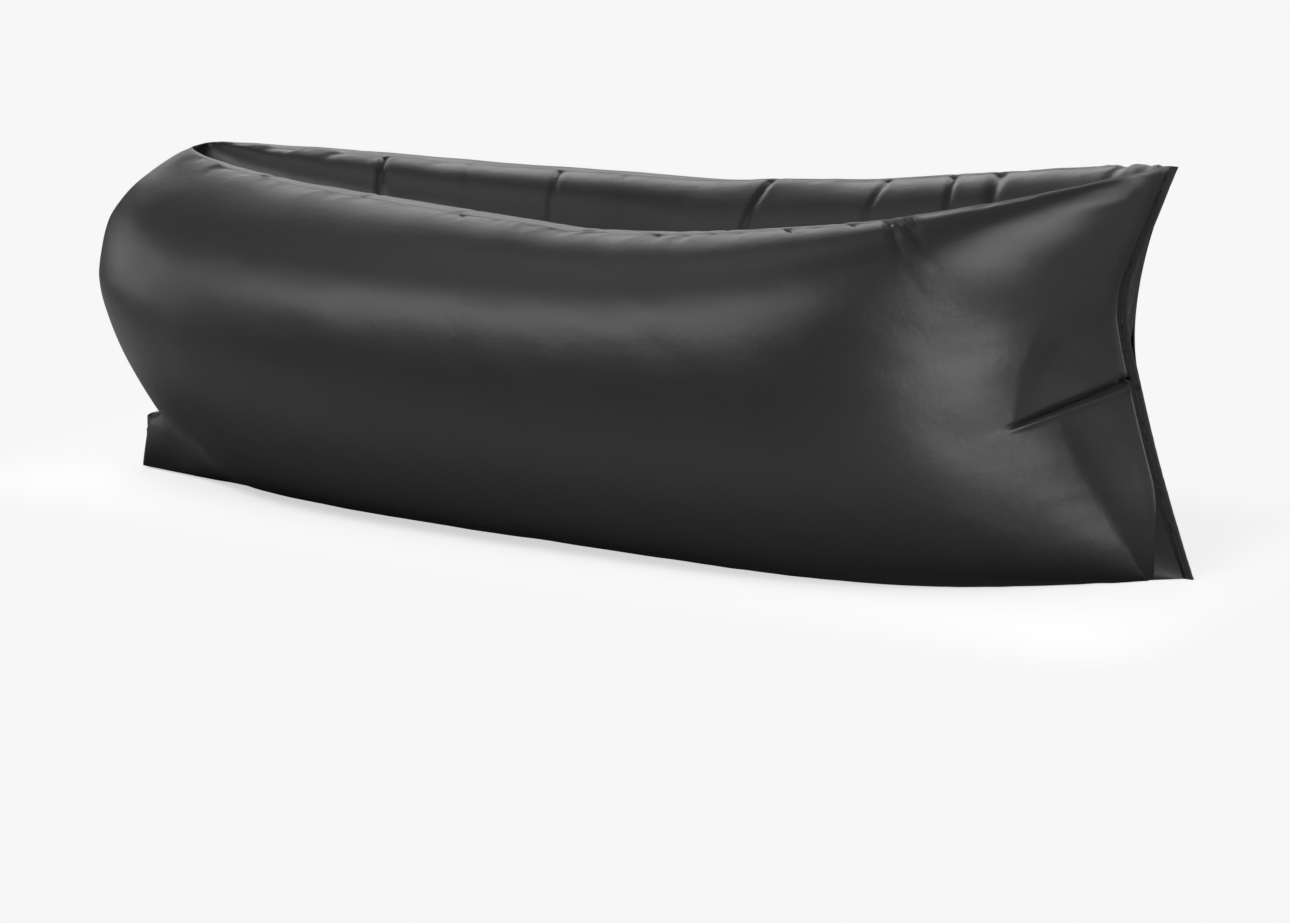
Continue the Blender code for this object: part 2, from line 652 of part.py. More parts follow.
for tube, tube_side in (("near", -1), ("far", 1)):
    tube_panel(f"{tube}_outer_panel", tube_side, outer=True)
    tube_panel(f"{tube}_inner_panel", tube_side, outer=False)
    bladder(f"{tube}_bladder", tube_side)
end_binding()
rolled_mouth()
mouth_stiffener("mouth_stiffener_back", -1)
mouth_stiffener("mouth_stiffener_front", 1)
mouth_neck()
webbing_strap("webbing_near", -1, BAR_LENGTH / 2 - MALE_BASE_LENGTH - BUCKLE_MIDDLE)
webbing_strap("webbing_far", 1, FEMALE_LENGTH - BAR_LENGTH / 2 - BUCKLE_MIDDLE)
buckle_male()
buckle_female()
buckle_prong("buckle_prong_lower", -1)
buckle_prong("buckle_prong_upper", 1)
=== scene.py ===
"""How the inflatable air lounger looks: its filled fabric, seams, folds, tape, webbing and buckle.

Everything is in metres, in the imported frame: +X from the rolled mouth to the sewn end, +Y from the near tube
to the far one, +Z up, with the origin on the floor under the middle.
"""

from math import cos, pi, radians, sin

import bmesh
import bpy
import numpy as np
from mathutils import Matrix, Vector


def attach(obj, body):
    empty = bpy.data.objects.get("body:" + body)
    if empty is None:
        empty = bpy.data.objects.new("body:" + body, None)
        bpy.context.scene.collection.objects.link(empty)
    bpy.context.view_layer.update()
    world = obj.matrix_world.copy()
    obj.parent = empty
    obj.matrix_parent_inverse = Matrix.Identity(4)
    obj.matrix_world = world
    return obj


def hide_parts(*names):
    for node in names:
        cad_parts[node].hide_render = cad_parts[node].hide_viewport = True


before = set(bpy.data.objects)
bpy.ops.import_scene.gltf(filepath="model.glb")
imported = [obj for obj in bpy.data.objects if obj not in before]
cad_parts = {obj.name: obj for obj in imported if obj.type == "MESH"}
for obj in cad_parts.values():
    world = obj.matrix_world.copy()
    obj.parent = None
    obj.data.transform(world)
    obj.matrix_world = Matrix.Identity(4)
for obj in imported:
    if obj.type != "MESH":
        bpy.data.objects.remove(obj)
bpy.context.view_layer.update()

# The tubes' filled form, with the names and values of the solids' source
LENGTH = 2.044
LONG_SIDE = 1.0311  # from the fullest section to the sewn end's floor corner
TUBE_THICKNESS = 0.486
MIDDLE_HEIGHT = 0.5165
SEWN_END_HEIGHT = 0.675
MOUTH_END_HEIGHT = 0.539
SEWN_EDGE_DEPTH = 0.1225
SEWN_LEAN_DEPTH = 0.048
SEAM_FLANGE_WIDTH = 0.014
BINDING_ALLOWANCE = 0.0011  # the tape's wall and its clearance, past the fabric's edge
MOUTH_TUCK_DEPTH = 0.28
TUCK_TOP_HEIGHT = 0.35
TOP_CUT_DEPTH = 0.1026
TOP_CUT_FROM_HEIGHT = 0.4066
SEWN_THICKNESS_POWER = 4.05
SEWN_THICKNESS_FALL = 1.08
MOUTH_THICKNESS_POWER = 2.525
MOUTH_THICKNESS_FALL = 0.3275
SEWN_HEIGHT_POWER = 1.4565
MOUTH_HEIGHT_POWER = 3.82
SEWN_EDGE_POWER = 2.585
MOUTH_EDGE_POWER = 3.2
ROUNDNESS = 2.24
SEWN_WAIST_SHARE = 0.619  # of the sewn end's height, where it is drawn in the most
BELOW_WAIST_POWER = 1.302
ABOVE_WAIST_POWER = 1.419
SEWN_RIDGE_SKEW = 0.169
MOUTH_RIDGE_SKEW = 1.016
MOUTH_RIDGE_POWER = 1.177
TUCK_POWER = 1.5
FLOOR_SHARE = 0.0118  # of a section's height, pressed flat by the floor
MIDDLE_X = LENGTH / 2 - BINDING_ALLOWANCE - LONG_SIDE
SHORT_SIDE = MIDDLE_X + LENGTH / 2

# The rolled mouth, its strap and its buckle, likewise
ROLL_X = 0.147 - LENGTH / 2
ROLL_HALF_HEIGHT = 0.048
ROLL_Z = ROLL_HALF_HEIGHT + 0.0005
ROLL_BOW = 0.010
ROLL_HALF = 0.22
ROLL_ROOT = 0.18
CORE_HALF = 0.00245
PITCH = 0.0048
LAYER = 0.0042
ROLL_TURNS = 3
ROLL_STRAIGHT = ROLL_HALF_HEIGHT - CORE_HALF - ROLL_TURNS * PITCH - LAYER
STRAP_X = ROLL_X - ROLL_BOW - (ROLL_HALF_HEIGHT - ROLL_STRAIGHT) - 0.00095
WEBBING = 0.0013
WEBBING_HALF_WIDTH = 0.0125
WEBBING_RETURN_LENGTH = 0.026
CLEARANCE = 0.0003
BAR_HALF = 0.0018
BAR_HALF_THICKNESS = 0.0015
MALE_BASE_LENGTH = 0.0215
FEMALE_LENGTH = 0.036
BUCKLE_MIDDLE = 0.00725

# The covers' meshes
COVER_ROWS = 560
COVER_COLUMNS = 300
HALF_GAP = 0.0004  # from the middle plane between the tubes to either cover
FLAT_THICKNESS = 0.0012  # of a tube with no air in it
FLOOR_GAP = 0.0004

# The sewn end: the tape gathers the fabric in further above its waist, in shares of the end's height
GATHER_DEPTH = 0.0145
GATHER_LEVEL = 0.689
GATHER_REACH = 0.104
WAIST_ROUNDING = 0.08

# The sewn end's taut folds, as heights and the places in x there, and the sharp crease between them
UPPER_FOLD = ((0.27, 0.36, 0.45, 0.53, 0.60, 0.64), (0.792, 0.800, 0.822, 0.858, 0.905, 0.935))
LOWER_FOLD = ((0.00, 0.06, 0.12, 0.18, 0.24, 0.28), (0.958, 0.936, 0.910, 0.881, 0.855, 0.838))
FAR_FOLD_SHIFT = ((0.20, 0.30, 0.45, 0.60), (0.0, -0.015, -0.013, 0.0))
FOLD_ROUNDING = 0.0018
FOLD_PROUD = 0.015
LOWER_PROUD_SHARE = 0.6
CREASE_START = (0.786, -0.24, 0.272)
CREASE_END = (0.896, 0.0, 0.320)
CREASE_RISE = 0.41  # of the line that parts the upper face from the lower one
CREASE_WIDTH = 0.0034
CREASE_DEPTH = 0.020
CREASE_LIP = 0.006

# The corner of fabric beside the roll: stations along the tube, and its upright edge
FIN_LEAVES, FIN_TIP, FIN_RETURNS = -0.50, -0.745, -0.84
FIN_EDGE_X = -0.8915
FIN_EDGE_LEAN = 0.20
FIN_EDGE_Y = -0.2380
FIN_THICKNESS = 0.0024
FIN_TOP = (0.082, 0.118)

# How uneven the filled fabric is
RIDGE_GATHERS = 0.0016
FLOOR_GATHERS = 0.0012
BROAD_WAVES = 0.0022
SMALL_WAVES = 0.0007
FAN_WAVES = 0.0013  # that spread from the tape
MOUTH_WAVES = 0.0006
FLOOR_SEAM_DEPTH = 0.0010
SWELL_X = 0.13

# The ridge seam, by places in x: how far its layers stand up, how pale its line is from rubbing and from a
# painted highlight, and how wide
SEAM_BEAD = ((-0.5, 0.0, 0.35, 0.60), (0.0002, 0.0004, 0.0009, 0.0018))
SEAM_BEAD_WIDTH = 0.0060
RUBBED_AND_HIGHLIGHT = ((-0.55, -0.05, 0.35, 0.58), (0.20, 0.32, 0.50, 1.0))
RUBBED_AND_HIGHLIGHT_WIDTH = ((0.0, 0.5), (0.0060, 0.0100))

# The film bladder, made smaller than the filled form so that it stays inside the cover
FILM_SHARE = 0.91
FILM_FIRST = -0.93
FILM_ROWS_SHORT = 130
FILM_STEP = 3
FILM_LOWEST = 0.004

# Each fold: where it leaves the ridge, how it leans, how far it reaches, its width and its depth
NEAR_RIM_FOLDS = (
    (-0.229, 0.30, 0.022, 0.005, 0.0040),
    (0.168, 0.20, 0.020, 0.005, 0.0030),
    (0.405, 0.75, 0.030, 0.005, 0.0050),
    (0.518, 0.70, 0.026, 0.005, 0.0040),
    (0.578, 0.55, 0.095, 0.005, 0.0085),
    (0.592, 0.72, 0.085, 0.005, 0.0080),
    (0.612, 0.60, 0.065, 0.005, 0.0055),
)
NEAR_TROUGH_FOLDS = (
    (-0.70, 0.05, 0.16, 0.007, 0.0060),
    (-0.46, -0.05, 0.18, 0.006, 0.0045),
    (-0.25, 0.03, 0.14, 0.007, 0.0040),
    (0.02, 0.08, 0.20, 0.007, 0.0060),
    (0.27, -0.04, 0.15, 0.006, 0.0040),
    (0.48, 0.06, 0.20, 0.007, 0.0070),
    (0.60, 0.10, 0.16, 0.007, 0.0060),
)
FAR_TROUGH_FOLDS = (
    (-0.616, 0.41, 0.22, 0.0055, 0.0055),
    (-0.460, 0.44, 0.14, 0.0050, 0.0018),
    (-0.288, 0.37, 0.18, 0.0050, 0.0034),
    (-0.168, 0.46, 0.12, 0.0050, 0.0014),
    (0.116, 0.14, 0.20, 0.0060, 0.0050),
    (0.338, 0.16, 0.16, 0.0055, 0.0038),
    (0.461, 0.36, 0.18, 0.0055, 0.0052),
    (0.553, 0.30, 0.14, 0.0110, 0.0060),
)
FAR_RIM_FOLDS = (
    (-0.40, 0.10, 0.035, 0.005, 0.0030),
    (0.12, -0.15, 0.030, 0.005, 0.0030),
    (0.440, 0.10, 0.080, 0.006, 0.0060),
    (0.541, -0.10, 0.080, 0.008, 0.0070),
)

# Stitches: from one to the next, how long each is, and the thread's radius
RIDGE_STITCH = (0.0034, 0.0026, 0.00028)
TAPE_STITCH = (0.0036, 0.0028, 0.0003)
STRAP_STITCH = (0.0026, 0.002, 0.0003)
RIDGE_STITCH_COLUMNS = 4  # down from the ridge, on the trough's side
RIDGE_STITCH_LIFT = 0.0002

# Tape over the sewn edges: half its section, from its near hem to its fold, as places behind its edge and how
# far out they are
TAPE_BACK = (-0.0120, -0.0095, -0.0060, -0.0025, -0.0004, 0.0002)
TAPE_HALF = (0.0019, 0.0023, 0.0024, 0.0024, 0.0018, 0.0007)
TAPE_PAST_EDGE = 0.0009
TAPE_ROWS = 180

# The roll's layers in one turn, from inside to outside, and how its ends are pulled in
ROLL_LAYERS = ((-0.0021, -0.0008), (-0.0006, 0.0006), (0.0008, 0.0021))
ROLL_STEPS = 150
ROLL_ROWS = 70
ROLL_END_ROWS = 4
ROLL_END_WIDTH = 0.006
ROLL_REAR_X = -0.890
ROLL_REAR_PULL = 0.018
ROLL_TOP_PULL = 0.014

# The strap's way round the roll's end, and the stitched box where it returns
STRAP_OUT = 0.0024
STRAP_CORNER_X = 0.018
STRAP_CORNER_Y = 0.022
STRAP_BENDS = (0.002,) * 5 + (0.001,) * 4 + (0.004,)
STRAP_STEP = 0.004
STITCH_BOX_Y = (0.006, 0.022)
STITCH_BOX_HALF = 0.0105

# Colours
PALE = 0.93
FABRIC_COLOUR = (0.040, 0.040, 0.041)
# A pale line along the ridges: partly wear from rubbing, partly a painted highlight
RUBBED_AND_HIGHLIGHT_COLOUR = (0.34, 0.34, 0.342)
TAPE_COLOUR = (0.050, 0.050, 0.051)
STRAP_COLOUR = (0.026, 0.026, 0.027)
THREAD_COLOUR = (0.070, 0.070, 0.071)
BUCKLE_COLOUR = (0.019, 0.019, 0.020)
STRIP_COLOUR = (0.55, 0.55, 0.53)
FILM_COLOUR = (0.56, 0.58, 0.60)

# The floor: the lounger's own patch, the shadow's reach past it, and what it throws back by distance, as
# painted shade
FLOOR_PATCH = (0.95, 0.36, 0.0)
SHADOW_REACH = 0.22
SHADOW_GLOW = (0.56, 0.675)  # painted glow of the shaded floor, towards the mouth and towards the sewn end
FLOOR_REACH = 2.5
# Painted shade that other surfaces see in the floor: dark close to the lounger and far off, pale between
PAINTED_FLOOR_SHADE = ((0.0, 0.05), (0.08, 0.30), (0.17, 0.80), (0.42, 0.66), (0.72, 0.10))
SURROUNDINGS_FILL = 0.05

# Each lamp: its name, what it looks at, its heading and height in degrees, its distance, size and power
LAMPS = (
    ("key softbox", (0, -0.2, 0.35), -32, 38, 5.0, (5.4, 1.6), 82),
    ("side softbox", (0.7, -0.3, 0.25), 72, 5, 4.0, (1.8, 2.0), 60),
    ("upper side softbox", (0.7, -0.3, 0.4), 54, 26, 4.0, (1.3, 1.0), 22),
    ("left softbox", (-0.8, -0.2, 0.3), -86, 14, 3.8, (2.6, 2.0), 20),
    ("top softbox", (0, 0, 0.4), -95, 60, 4.0, (2.4, 1.4), 7),
    ("back glow", (0, 0, 0.4), 204, 16, 4.0, (5.6, 0.8), 36),
)

# The camera that was solved for the photograph
CAMERA_PLACE = (3.8453, -6.7395, 2.0442)
CAMERA_YAW = 0.5186
CAMERA_PITCH = 0.2492
CAMERA_LENS = 129.9
CAMERA_SENSOR = 36


# Shader trees ----------------------------------


class Wire:
    """One socket's output, so that shader maths reads as plain arithmetic."""

    def __init__(self, finish, output):
        self.finish = finish
        self.output = output

    def maths(self, operation, *others, clamp=False):
        settings = {"operation": operation, "use_clamp": clamp}
        return self.finish.node("ShaderNodeMath", settings, [self, *others])

    def __add__(self, other):
        return self.maths("ADD", other)

    def __sub__(self, other):
        return self.maths("SUBTRACT", other)

    def __mul__(self, other):
        return self.maths("MULTIPLY", other)

    def __truediv__(self, other):
        return self.maths("DIVIDE", other)

    def __rsub__(self, other):
        return self.finish.node("ShaderNodeMath", {"operation": "SUBTRACT"}, [other, self])

    __radd__ = __add__

    def clamped(self):
        return self.maths("ADD", 0.0, clamp=True)

    def wave(self):
        """0 to 1 and back once for each whole step of the value."""
        return (self * (2 * pi)).maths("SINE") * 0.5 + 0.5


class Finish:
    """A material whose tree is built node by node."""

    def __init__(self, name):
        self.material = bpy.data.materials.new(name)
        self.material.use_nodes = True
        self.tree = self.material.node_tree
        self.shader = self.tree.nodes["Principled BSDF"]

    def node(self, kind, settings=None, inputs=(), output=0):
        made = self.tree.nodes.new(kind)
        for key, value in (settings or {}).items():
            if key == "stops":
                ramp = made.color_ramp
                for i, (place, colour) in enumerate(value):
                    stop = ramp.elements[i] if i < len(ramp.elements) else ramp.elements.new(place)
                    stop.position = place
                    stop.color = (*colour, 1.0)
            else:
                setattr(made, key, value)
        pairs = inputs.items() if isinstance(inputs, dict) else enumerate(inputs)
        for key, value in pairs:
            self.feed(made.inputs[key], value)
        return Wire(self, made.outputs[output])

    def feed(self, socket, value):
        if isinstance(value, Wire):
            self.tree.links.new(value.output, socket)
        else:
            socket.default_value = value

    def set(self, **values):
        """Feeds the main shader's sockets; an underscore stands for a space."""
        for key, value in values.items():
            self.feed(self.shader.inputs[key.replace("_", " ")], value)

    def place(self):
        return self.node("ShaderNodeTexCoord", output="Object")

    def cloth(self):
        """The piece's own cloth lengths, in metres: along the grain, and across it."""
        uv = self.node("ShaderNodeUVMap", {"uv_map": "Cloth"})
        return self.part(uv, "X"), self.part(uv, "Y")

    def part(self, vector, axis):
        return self.node("ShaderNodeSeparateXYZ", inputs=[vector], output=axis)

    def vector(self, operation, *values, output="Vector"):
        return self.node("ShaderNodeVectorMath", {"operation": operation}, values, output)

    def scaled(self, vector, factors):
        return self.vector("MULTIPLY", vector, factors)

    def noise(self, vector, scale, detail=3.0, roughness=0.5):
        inputs = {"Vector": vector, "Scale": scale, "Detail": detail, "Roughness": roughness}
        return self.node("ShaderNodeTexNoise", inputs=inputs)

    def mixed(self, share, first, second):
        """Two colours mixed by a share."""
        made = self.tree.nodes.new("ShaderNodeMix")
        made.data_type = "RGBA"
        colours = [s for s in made.inputs if s.type == "RGBA"]
        self.feed(made.inputs[0], share)
        for socket, colour in zip(colours, (first, second)):
            self.feed(socket, colour if isinstance(colour, Wire) else (*colour, 1.0))
        return Wire(self, next(s for s in made.outputs if s.type == "RGBA"))

    def toned(self, share, colour, darkest, palest):
        """One colour, from a darker to a paler tone of it."""
        return self.mixed(share, [c * darkest for c in colour], [c * palest for c in colour])

    def bump(self, height, distance, strength, under=None):
        inputs = {"Height": height, "Distance": distance, "Strength": strength}
        if under is not None:
            inputs["Normal"] = under
        return self.node("ShaderNodeBump", inputs=inputs)

    def attribute(self, name):
        return self.node("ShaderNodeAttribute", {"attribute_name": name}, output="Fac")


def coated_fabric(name, colour, worn_and_highlight):
    """Calendered, coated nylon: a satin face with a fine plain weave and faint handling marks, paler along the
    ridge from wear by rubbing and from a painted highlight, and with painted shade down in its folds and along
    its bottom."""
    made = Finish(name)
    along, across = made.cloth()
    place = made.place()
    weave = (along / 0.0009).wave() * (across / 0.0009).wave()
    marks = made.noise(made.scaled(place, (1.0, 1.0, 1.6)), 9.0, 4.0, 0.6)
    cloudy = made.noise(place, 2.3, 2.0)
    creased_and_highlight = made.attribute("CreaseAndHighlight").clamped()
    base = made.toned((marks * 0.35 + cloudy * 0.65).clamped(), colour, 0.86, 1.14)
    # A pale line along the ridge: partly wear from rubbing, partly a painted highlight
    base = made.mixed((creased_and_highlight - 0.25).clamped() * 0.9, base, worn_and_highlight)
    # Painted shade: the colour darkens down in folds, in the sewn end's crease and along the outer side's
    # bottom
    base = made.mixed(made.attribute("PaintedShade").clamped() * 0.85, base, [c * 0.15 for c in colour])
    rough = 0.32 + marks * 0.08 + creased_and_highlight * 0.06
    crumple = made.noise(place, 55.0, 3.0, 0.55)
    normal = made.bump(crumple, 0.0012, 0.35)
    normal = made.bump(weave, 0.00006, 0.5, normal)
    made.set(Base_Color=base, Roughness=rough, Normal=normal, Specular_IOR_Level=0.6)
    made.set(Sheen_Weight=0.12, Sheen_Roughness=0.5)
    return made.material


def woven_tape(name, colour, ribs, pitch):
    """Tape and webbing: ribs along the piece, crossed by a finer weft."""
    made = Finish(name)
    along, across = made.cloth()
    rib = (across / ribs).wave()
    weft = (along / pitch + (across / ribs).maths("FLOOR") * 0.5).wave()
    height = rib * 0.65 + weft * 0.35
    fuzz = made.noise(made.place(), 900.0, 2.0)
    base = made.toned((height * 0.6 + fuzz * 0.4).clamped(), colour, 0.6, 1.35)
    made.set(Base_Color=base, Roughness=0.55 + fuzz * 0.16, Normal=made.bump(height, 0.00025, 0.5))
    made.set(Specular_IOR_Level=0.5, Sheen_Weight=0.15)
    return made.material


def thread(name, colour):
    """Twisted polyester thread."""
    made = Finish(name)
    place = made.place()
    twist = (made.part(place, "X") / 0.0006 + made.part(place, "Z") / 0.0006).wave()
    base = made.toned(twist, colour, 0.75, 1.2)
    made.set(Base_Color=base, Roughness=0.5 + twist * 0.12, Normal=made.bump(twist, 0.0001, 0.6))
    return made.material


def moulded_plastic(name, colour):
    """Injection-moulded acetal: spark-eroded grain, faint flow marks, polished on its high spots."""
    made = Finish(name)
    place = made.place()
    grain = made.noise(place, 2600.0, 2.0)
    flow = made.noise(made.scaled(place, (1.0, 0.25, 1.0)), 160.0, 3.0)
    base = made.toned(flow, colour, 0.85, 1.2)
    made.set(Base_Color=base, Roughness=0.34 + grain * 0.14 + flow * 0.05)
    made.set(Normal=made.bump(grain, 0.00006, 0.6), Specular_IOR_Level=0.5)
    return made.material


def air_film(name, colour):
    """Milky film, a little cloudy."""
    made = Finish(name)
    cloud = made.noise(made.place(), 30.0, 3.0)
    base = made.toned(cloud, colour, 0.93, 1.0)
    made.set(Base_Color=base, Roughness=0.22 + cloud * 0.12, Normal=made.bump(cloud, 0.001, 0.3))
    return made.material


SATIN = coated_fabric("Coated satin nylon", FABRIC_COLOUR, RUBBED_AND_HIGHLIGHT_COLOUR)
TAPE = woven_tape("Binding tape", TAPE_COLOUR, 0.0011, 0.0012)
STRAP = woven_tape("Woven strap", STRAP_COLOUR, 0.0021, 0.0016)
THREAD = thread("Sewing thread", THREAD_COLOUR)
PLASTIC = moulded_plastic("Moulded buckle plastic", BUCKLE_COLOUR)
STRIP = moulded_plastic("Stiffener strip", STRIP_COLOUR)
FILM = air_film("Air film", FILM_COLOUR)


# Meshes from grids of points -------------------


def signed_power(value, power):
    return np.sign(value) * np.abs(value) ** power


def eased(value, low, high):
    """0 below low, 1 above high, and smooth between them."""
    share = np.clip((value - low) / (high - low), 0, 1)
    return share * share * (3 - 2 * share)


def bell(value, width):
    """1 where value is 0, and falling to about a third at width to either side."""
    return np.exp(-((value / width) ** 2))


def cell_noise(u, v, seed, size=64):
    """Smooth noise from -1 to 1 over a repeating grid of seeded values."""
    values = np.random.default_rng(seed).random((size, size)) * 2 - 1
    iu, iv = np.floor(u).astype(int), np.floor(v).astype(int)
    fu, fv = u - iu, v - iv
    fu, fv = fu * fu * (3 - 2 * fu), fv * fv * (3 - 2 * fv)
    a = values[iu % size, iv % size] * (1 - fu) + values[(iu + 1) % size, iv % size] * fu
    b = values[iu % size, (iv + 1) % size] * (1 - fu) + values[(iu + 1) % size, (iv + 1) % size] * fu
    return a * (1 - fv) + b * fv


def lengths_along(points, axis):
    steps = np.linalg.norm(np.diff(points, axis=axis), axis=-1)
    start = np.zeros_like(np.take(steps, [0], axis=axis))
    return np.concatenate([start, np.cumsum(steps, axis=axis)], axis=axis)


def flat_cap(row):
    """The corners of the faces that close a ring of point numbers, between its two halves."""
    faces = []
    for i in range(len(row) // 2):
        corners = [row[i], row[i + 1], row[-1 - i], row[-i]]
        corners = corners if i else [row[0], row[1], row[-1]]
        corners = list(dict.fromkeys(corners))
        if len(corners) > 2:
            faces.append(corners)
    return faces


def skin(name, points, finish, capped=False, flip=False, values=None):
    """A smooth mesh through rings of points, with its cloth lengths as a UV map. capped closes its first and
    last ring, and flip turns its faces over."""
    rows, columns, _ = points.shape
    index = np.arange(rows * columns).reshape(rows, columns)
    right = np.roll(index, -1, axis=1)
    quads = np.stack([index[:-1], index[1:], right[1:], right[:-1]], -1).reshape(-1, 4)
    here = lengths_along(points, 0)
    beside = np.roll(here, -1, 1)
    around = lengths_along(np.concatenate([points, points[:, :1]], axis=1), 1)
    near, far = around[:, :-1], around[:, 1:]
    u = np.stack([here[:-1], here[1:], beside[1:], beside[:-1]], -1)
    v = np.stack([near[:-1], near[1:], far[1:], far[:-1]], -1)
    uv = np.stack([u, v], -1).reshape(-1, 4, 2)
    faces = quads.tolist()
    if capped:
        faces += [corners[::-1] for corners in flat_cap(index[0])] + flat_cap(index[-1])
    if flip:
        faces = [corners[::-1] for corners in faces]
        uv = uv[:, ::-1]
    mesh = bpy.data.meshes.new(name)
    mesh.from_pydata(points.reshape(-1, 3).tolist(), [], faces)
    layer = mesh.uv_layers.new(name="Cloth")
    flat = np.zeros((len(mesh.loops), 2), np.float32)
    flat[: uv.size // 2] = uv.reshape(-1, 2)
    layer.data.foreach_set("uv", flat.ravel())
    for key, value in (values or {}).items():
        marks = mesh.attributes.new(key, "FLOAT", "POINT")
        marks.data.foreach_set("value", value.astype(np.float32).ravel())
    return put_in_scene(name, mesh, finish)


def put_in_scene(name, mesh, finish):
    """The object that shows a mesh, smooth and with its finish."""
    mesh.shade_smooth()
    mesh.materials.append(finish)
    made = bpy.data.objects.new(name, mesh)
    bpy.context.scene.collection.objects.link(made)
    return made


def with_faces(piece, faces):
    """Adds faces to a piece, by their corners' numbers, and turns all its faces outwards."""
    bm = bmesh.new()
    bm.from_mesh(piece.data)
    bm.verts.ensure_lookup_table()
    for corners in faces:
        bm.faces.new([bm.verts[i] for i in corners])
    bmesh.ops.recalc_face_normals(bm, faces=bm.faces)
    bm.to_mesh(piece.data)
    bm.free()
    return piece


def belongs(piece, slot, *nodes):
    """Puts a piece on the lounger's body, and in the place of the nodes it stands for. Its slot is not used.
    """
    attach(piece, "lounger")
    if nodes:
        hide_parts(*nodes)


# The two tubes ---------------------------------


def sewn_draw(level):
    """How far the sewn end is drawn in at a share of its height: the most about its waist, none at its floor
    corner."""
    below = np.maximum(1 - level / SEWN_WAIST_SHARE, 0) ** BELOW_WAIST_POWER
    above = (np.maximum(level - SEWN_WAIST_SHARE, 0) / (1 - SEWN_WAIST_SHARE)) ** ABOVE_WAIST_POWER
    gathered = GATHER_DEPTH * bell(level - GATHER_LEVEL, GATHER_REACH)
    return SEWN_EDGE_DEPTH * (1 - below) - (SEWN_EDGE_DEPTH - SEWN_LEAN_DEPTH) * above + gathered


def smooth_draw(level):
    """sewn_draw, with its waist rounded off."""
    reach = WAIST_ROUNDING * eased(level, 0.25, 0.45) * (1 - eased(level, 0.80, 0.92))
    steps = ((0.25, -1), (0.5, 0), (0.25, 1))
    return sum(share * sewn_draw(level + reach * step) for share, step in steps)


def tube_form(along, turn):
    """The near tube's fabric. along runs from -1 at the mouth to 1 at the sewn end, turn once round from the
    floor up the outer side."""
    s = np.sin(along * pi / 2)
    a = np.abs(s)
    sewn = s > 0
    sewn_fullness = np.maximum(1 - a**SEWN_THICKNESS_POWER, 0) ** SEWN_THICKNESS_FALL
    mouth_fullness = np.maximum(1 - a**MOUTH_THICKNESS_POWER, 0) ** MOUTH_THICKNESS_FALL
    fullness = np.where(sewn, sewn_fullness, mouth_fullness)
    sewn_height = MIDDLE_HEIGHT + (SEWN_END_HEIGHT - MIDDLE_HEIGHT) * a**SEWN_HEIGHT_POWER
    mouth_height = MIDDLE_HEIGHT + (MOUTH_END_HEIGHT - MIDDLE_HEIGHT) * a**MOUTH_HEIGHT_POWER
    height = np.where(sewn, sewn_height, mouth_height)
    side = signed_power(np.sin(turn), 2 / ROUNDNESS)
    rise = -signed_power(np.cos(turn), 2 / ROUNDNESS)
    pressed = FLOOR_SHARE * fullness
    level = np.maximum((1 + rise) / 2 - pressed, 0) / (1 - pressed)
    z = height * level
    sewn_skew = -SEWN_RIDGE_SKEW * 4 * s**2 * (1 - s**2)
    skew = np.where(sewn, sewn_skew, MOUTH_RIDGE_SKEW * a**MOUTH_RIDGE_POWER)
    outwards = np.maximum((1 + side) / 2, 0) ** (1 + skew * level**2)
    y = -HALF_GAP - np.maximum(TUBE_THICKNESS * fullness, FLAT_THICKNESS) * outwards
    sewn_x = MIDDLE_X + s * (LONG_SIDE - SEAM_FLANGE_WIDTH) - a**SEWN_EDGE_POWER * smooth_draw(level)
    tuck = MOUTH_TUCK_DEPTH * np.maximum(1 - z / TUCK_TOP_HEIGHT, 0) ** TUCK_POWER
    top = np.maximum(z - TOP_CUT_FROM_HEIGHT, 0) / (MOUTH_END_HEIGHT - TOP_CUT_FROM_HEIGHT)
    mouth_x = MIDDLE_X + s * SHORT_SIDE + a**MOUTH_EDGE_POWER * (tuck + TOP_CUT_DEPTH * top**2)
    return np.stack([np.where(sewn, sewn_x, mouth_x), y, z], -1)


def spread(density, count):
    """Shares from 0 to 1, closer together where density, sampled evenly, is high."""
    total = np.concatenate([[0], np.cumsum((density[1:] + density[:-1]) / 2)])
    return np.interp(np.linspace(0, 1, count), total / total[-1], np.linspace(0, 1, len(density)))


def pace(line):
    """How far each point of a line lies from the one before."""
    return np.concatenate([[0], np.linalg.norm(np.diff(line, axis=0), axis=-1)])


def tube_rows(count):
    """Stations along a tube: even along its outer side, and closer at the sewn end's folds, at the corner
    beside the roll and at the tucked mouth."""
    along = np.linspace(-1, 1, 4001)
    line = tube_form(along, np.full_like(along, 1.6))
    density = pace(line) * (1 + 1.6 * eased(line[:, 0], 0.62, 0.80)) + 3e-4 * (np.abs(along + 0.71) < 0.14)
    density += 4e-4 * eased(-along, 0.80, 0.90)
    return 2 * spread(density, count) - 1


def tube_turns(count):
    """Turns round a tube, closer at its top ridge and the sewn end's crease. The first is the floor ridge."""
    turn = np.linspace(0, 2 * pi, 8001)
    speed = pace(tube_form(np.full_like(turn, 0.35), turn))
    density = speed * (1 + 5 * bell(turn - pi, 0.05) + 1.6 * bell(turn - 1.50, 0.16))
    density += speed.mean() * 0.8 * bell(turn - pi, 0.03)
    return (2 * pi * spread(density, count + 1))[:-1]


def outward(points):
    """Normals of rings of points, out of the near tube."""
    lengthwise = np.gradient(points, axis=0)
    ring = np.concatenate([points[:, -1:], points, points[:, :1]], axis=1)
    around = (ring[:, 2:] - ring[:, :-2]) / 2
    normal = np.cross(lengthwise, around)
    size = np.linalg.norm(normal, axis=-1, keepdims=True)
    return normal / np.maximum(size, 1e-12)


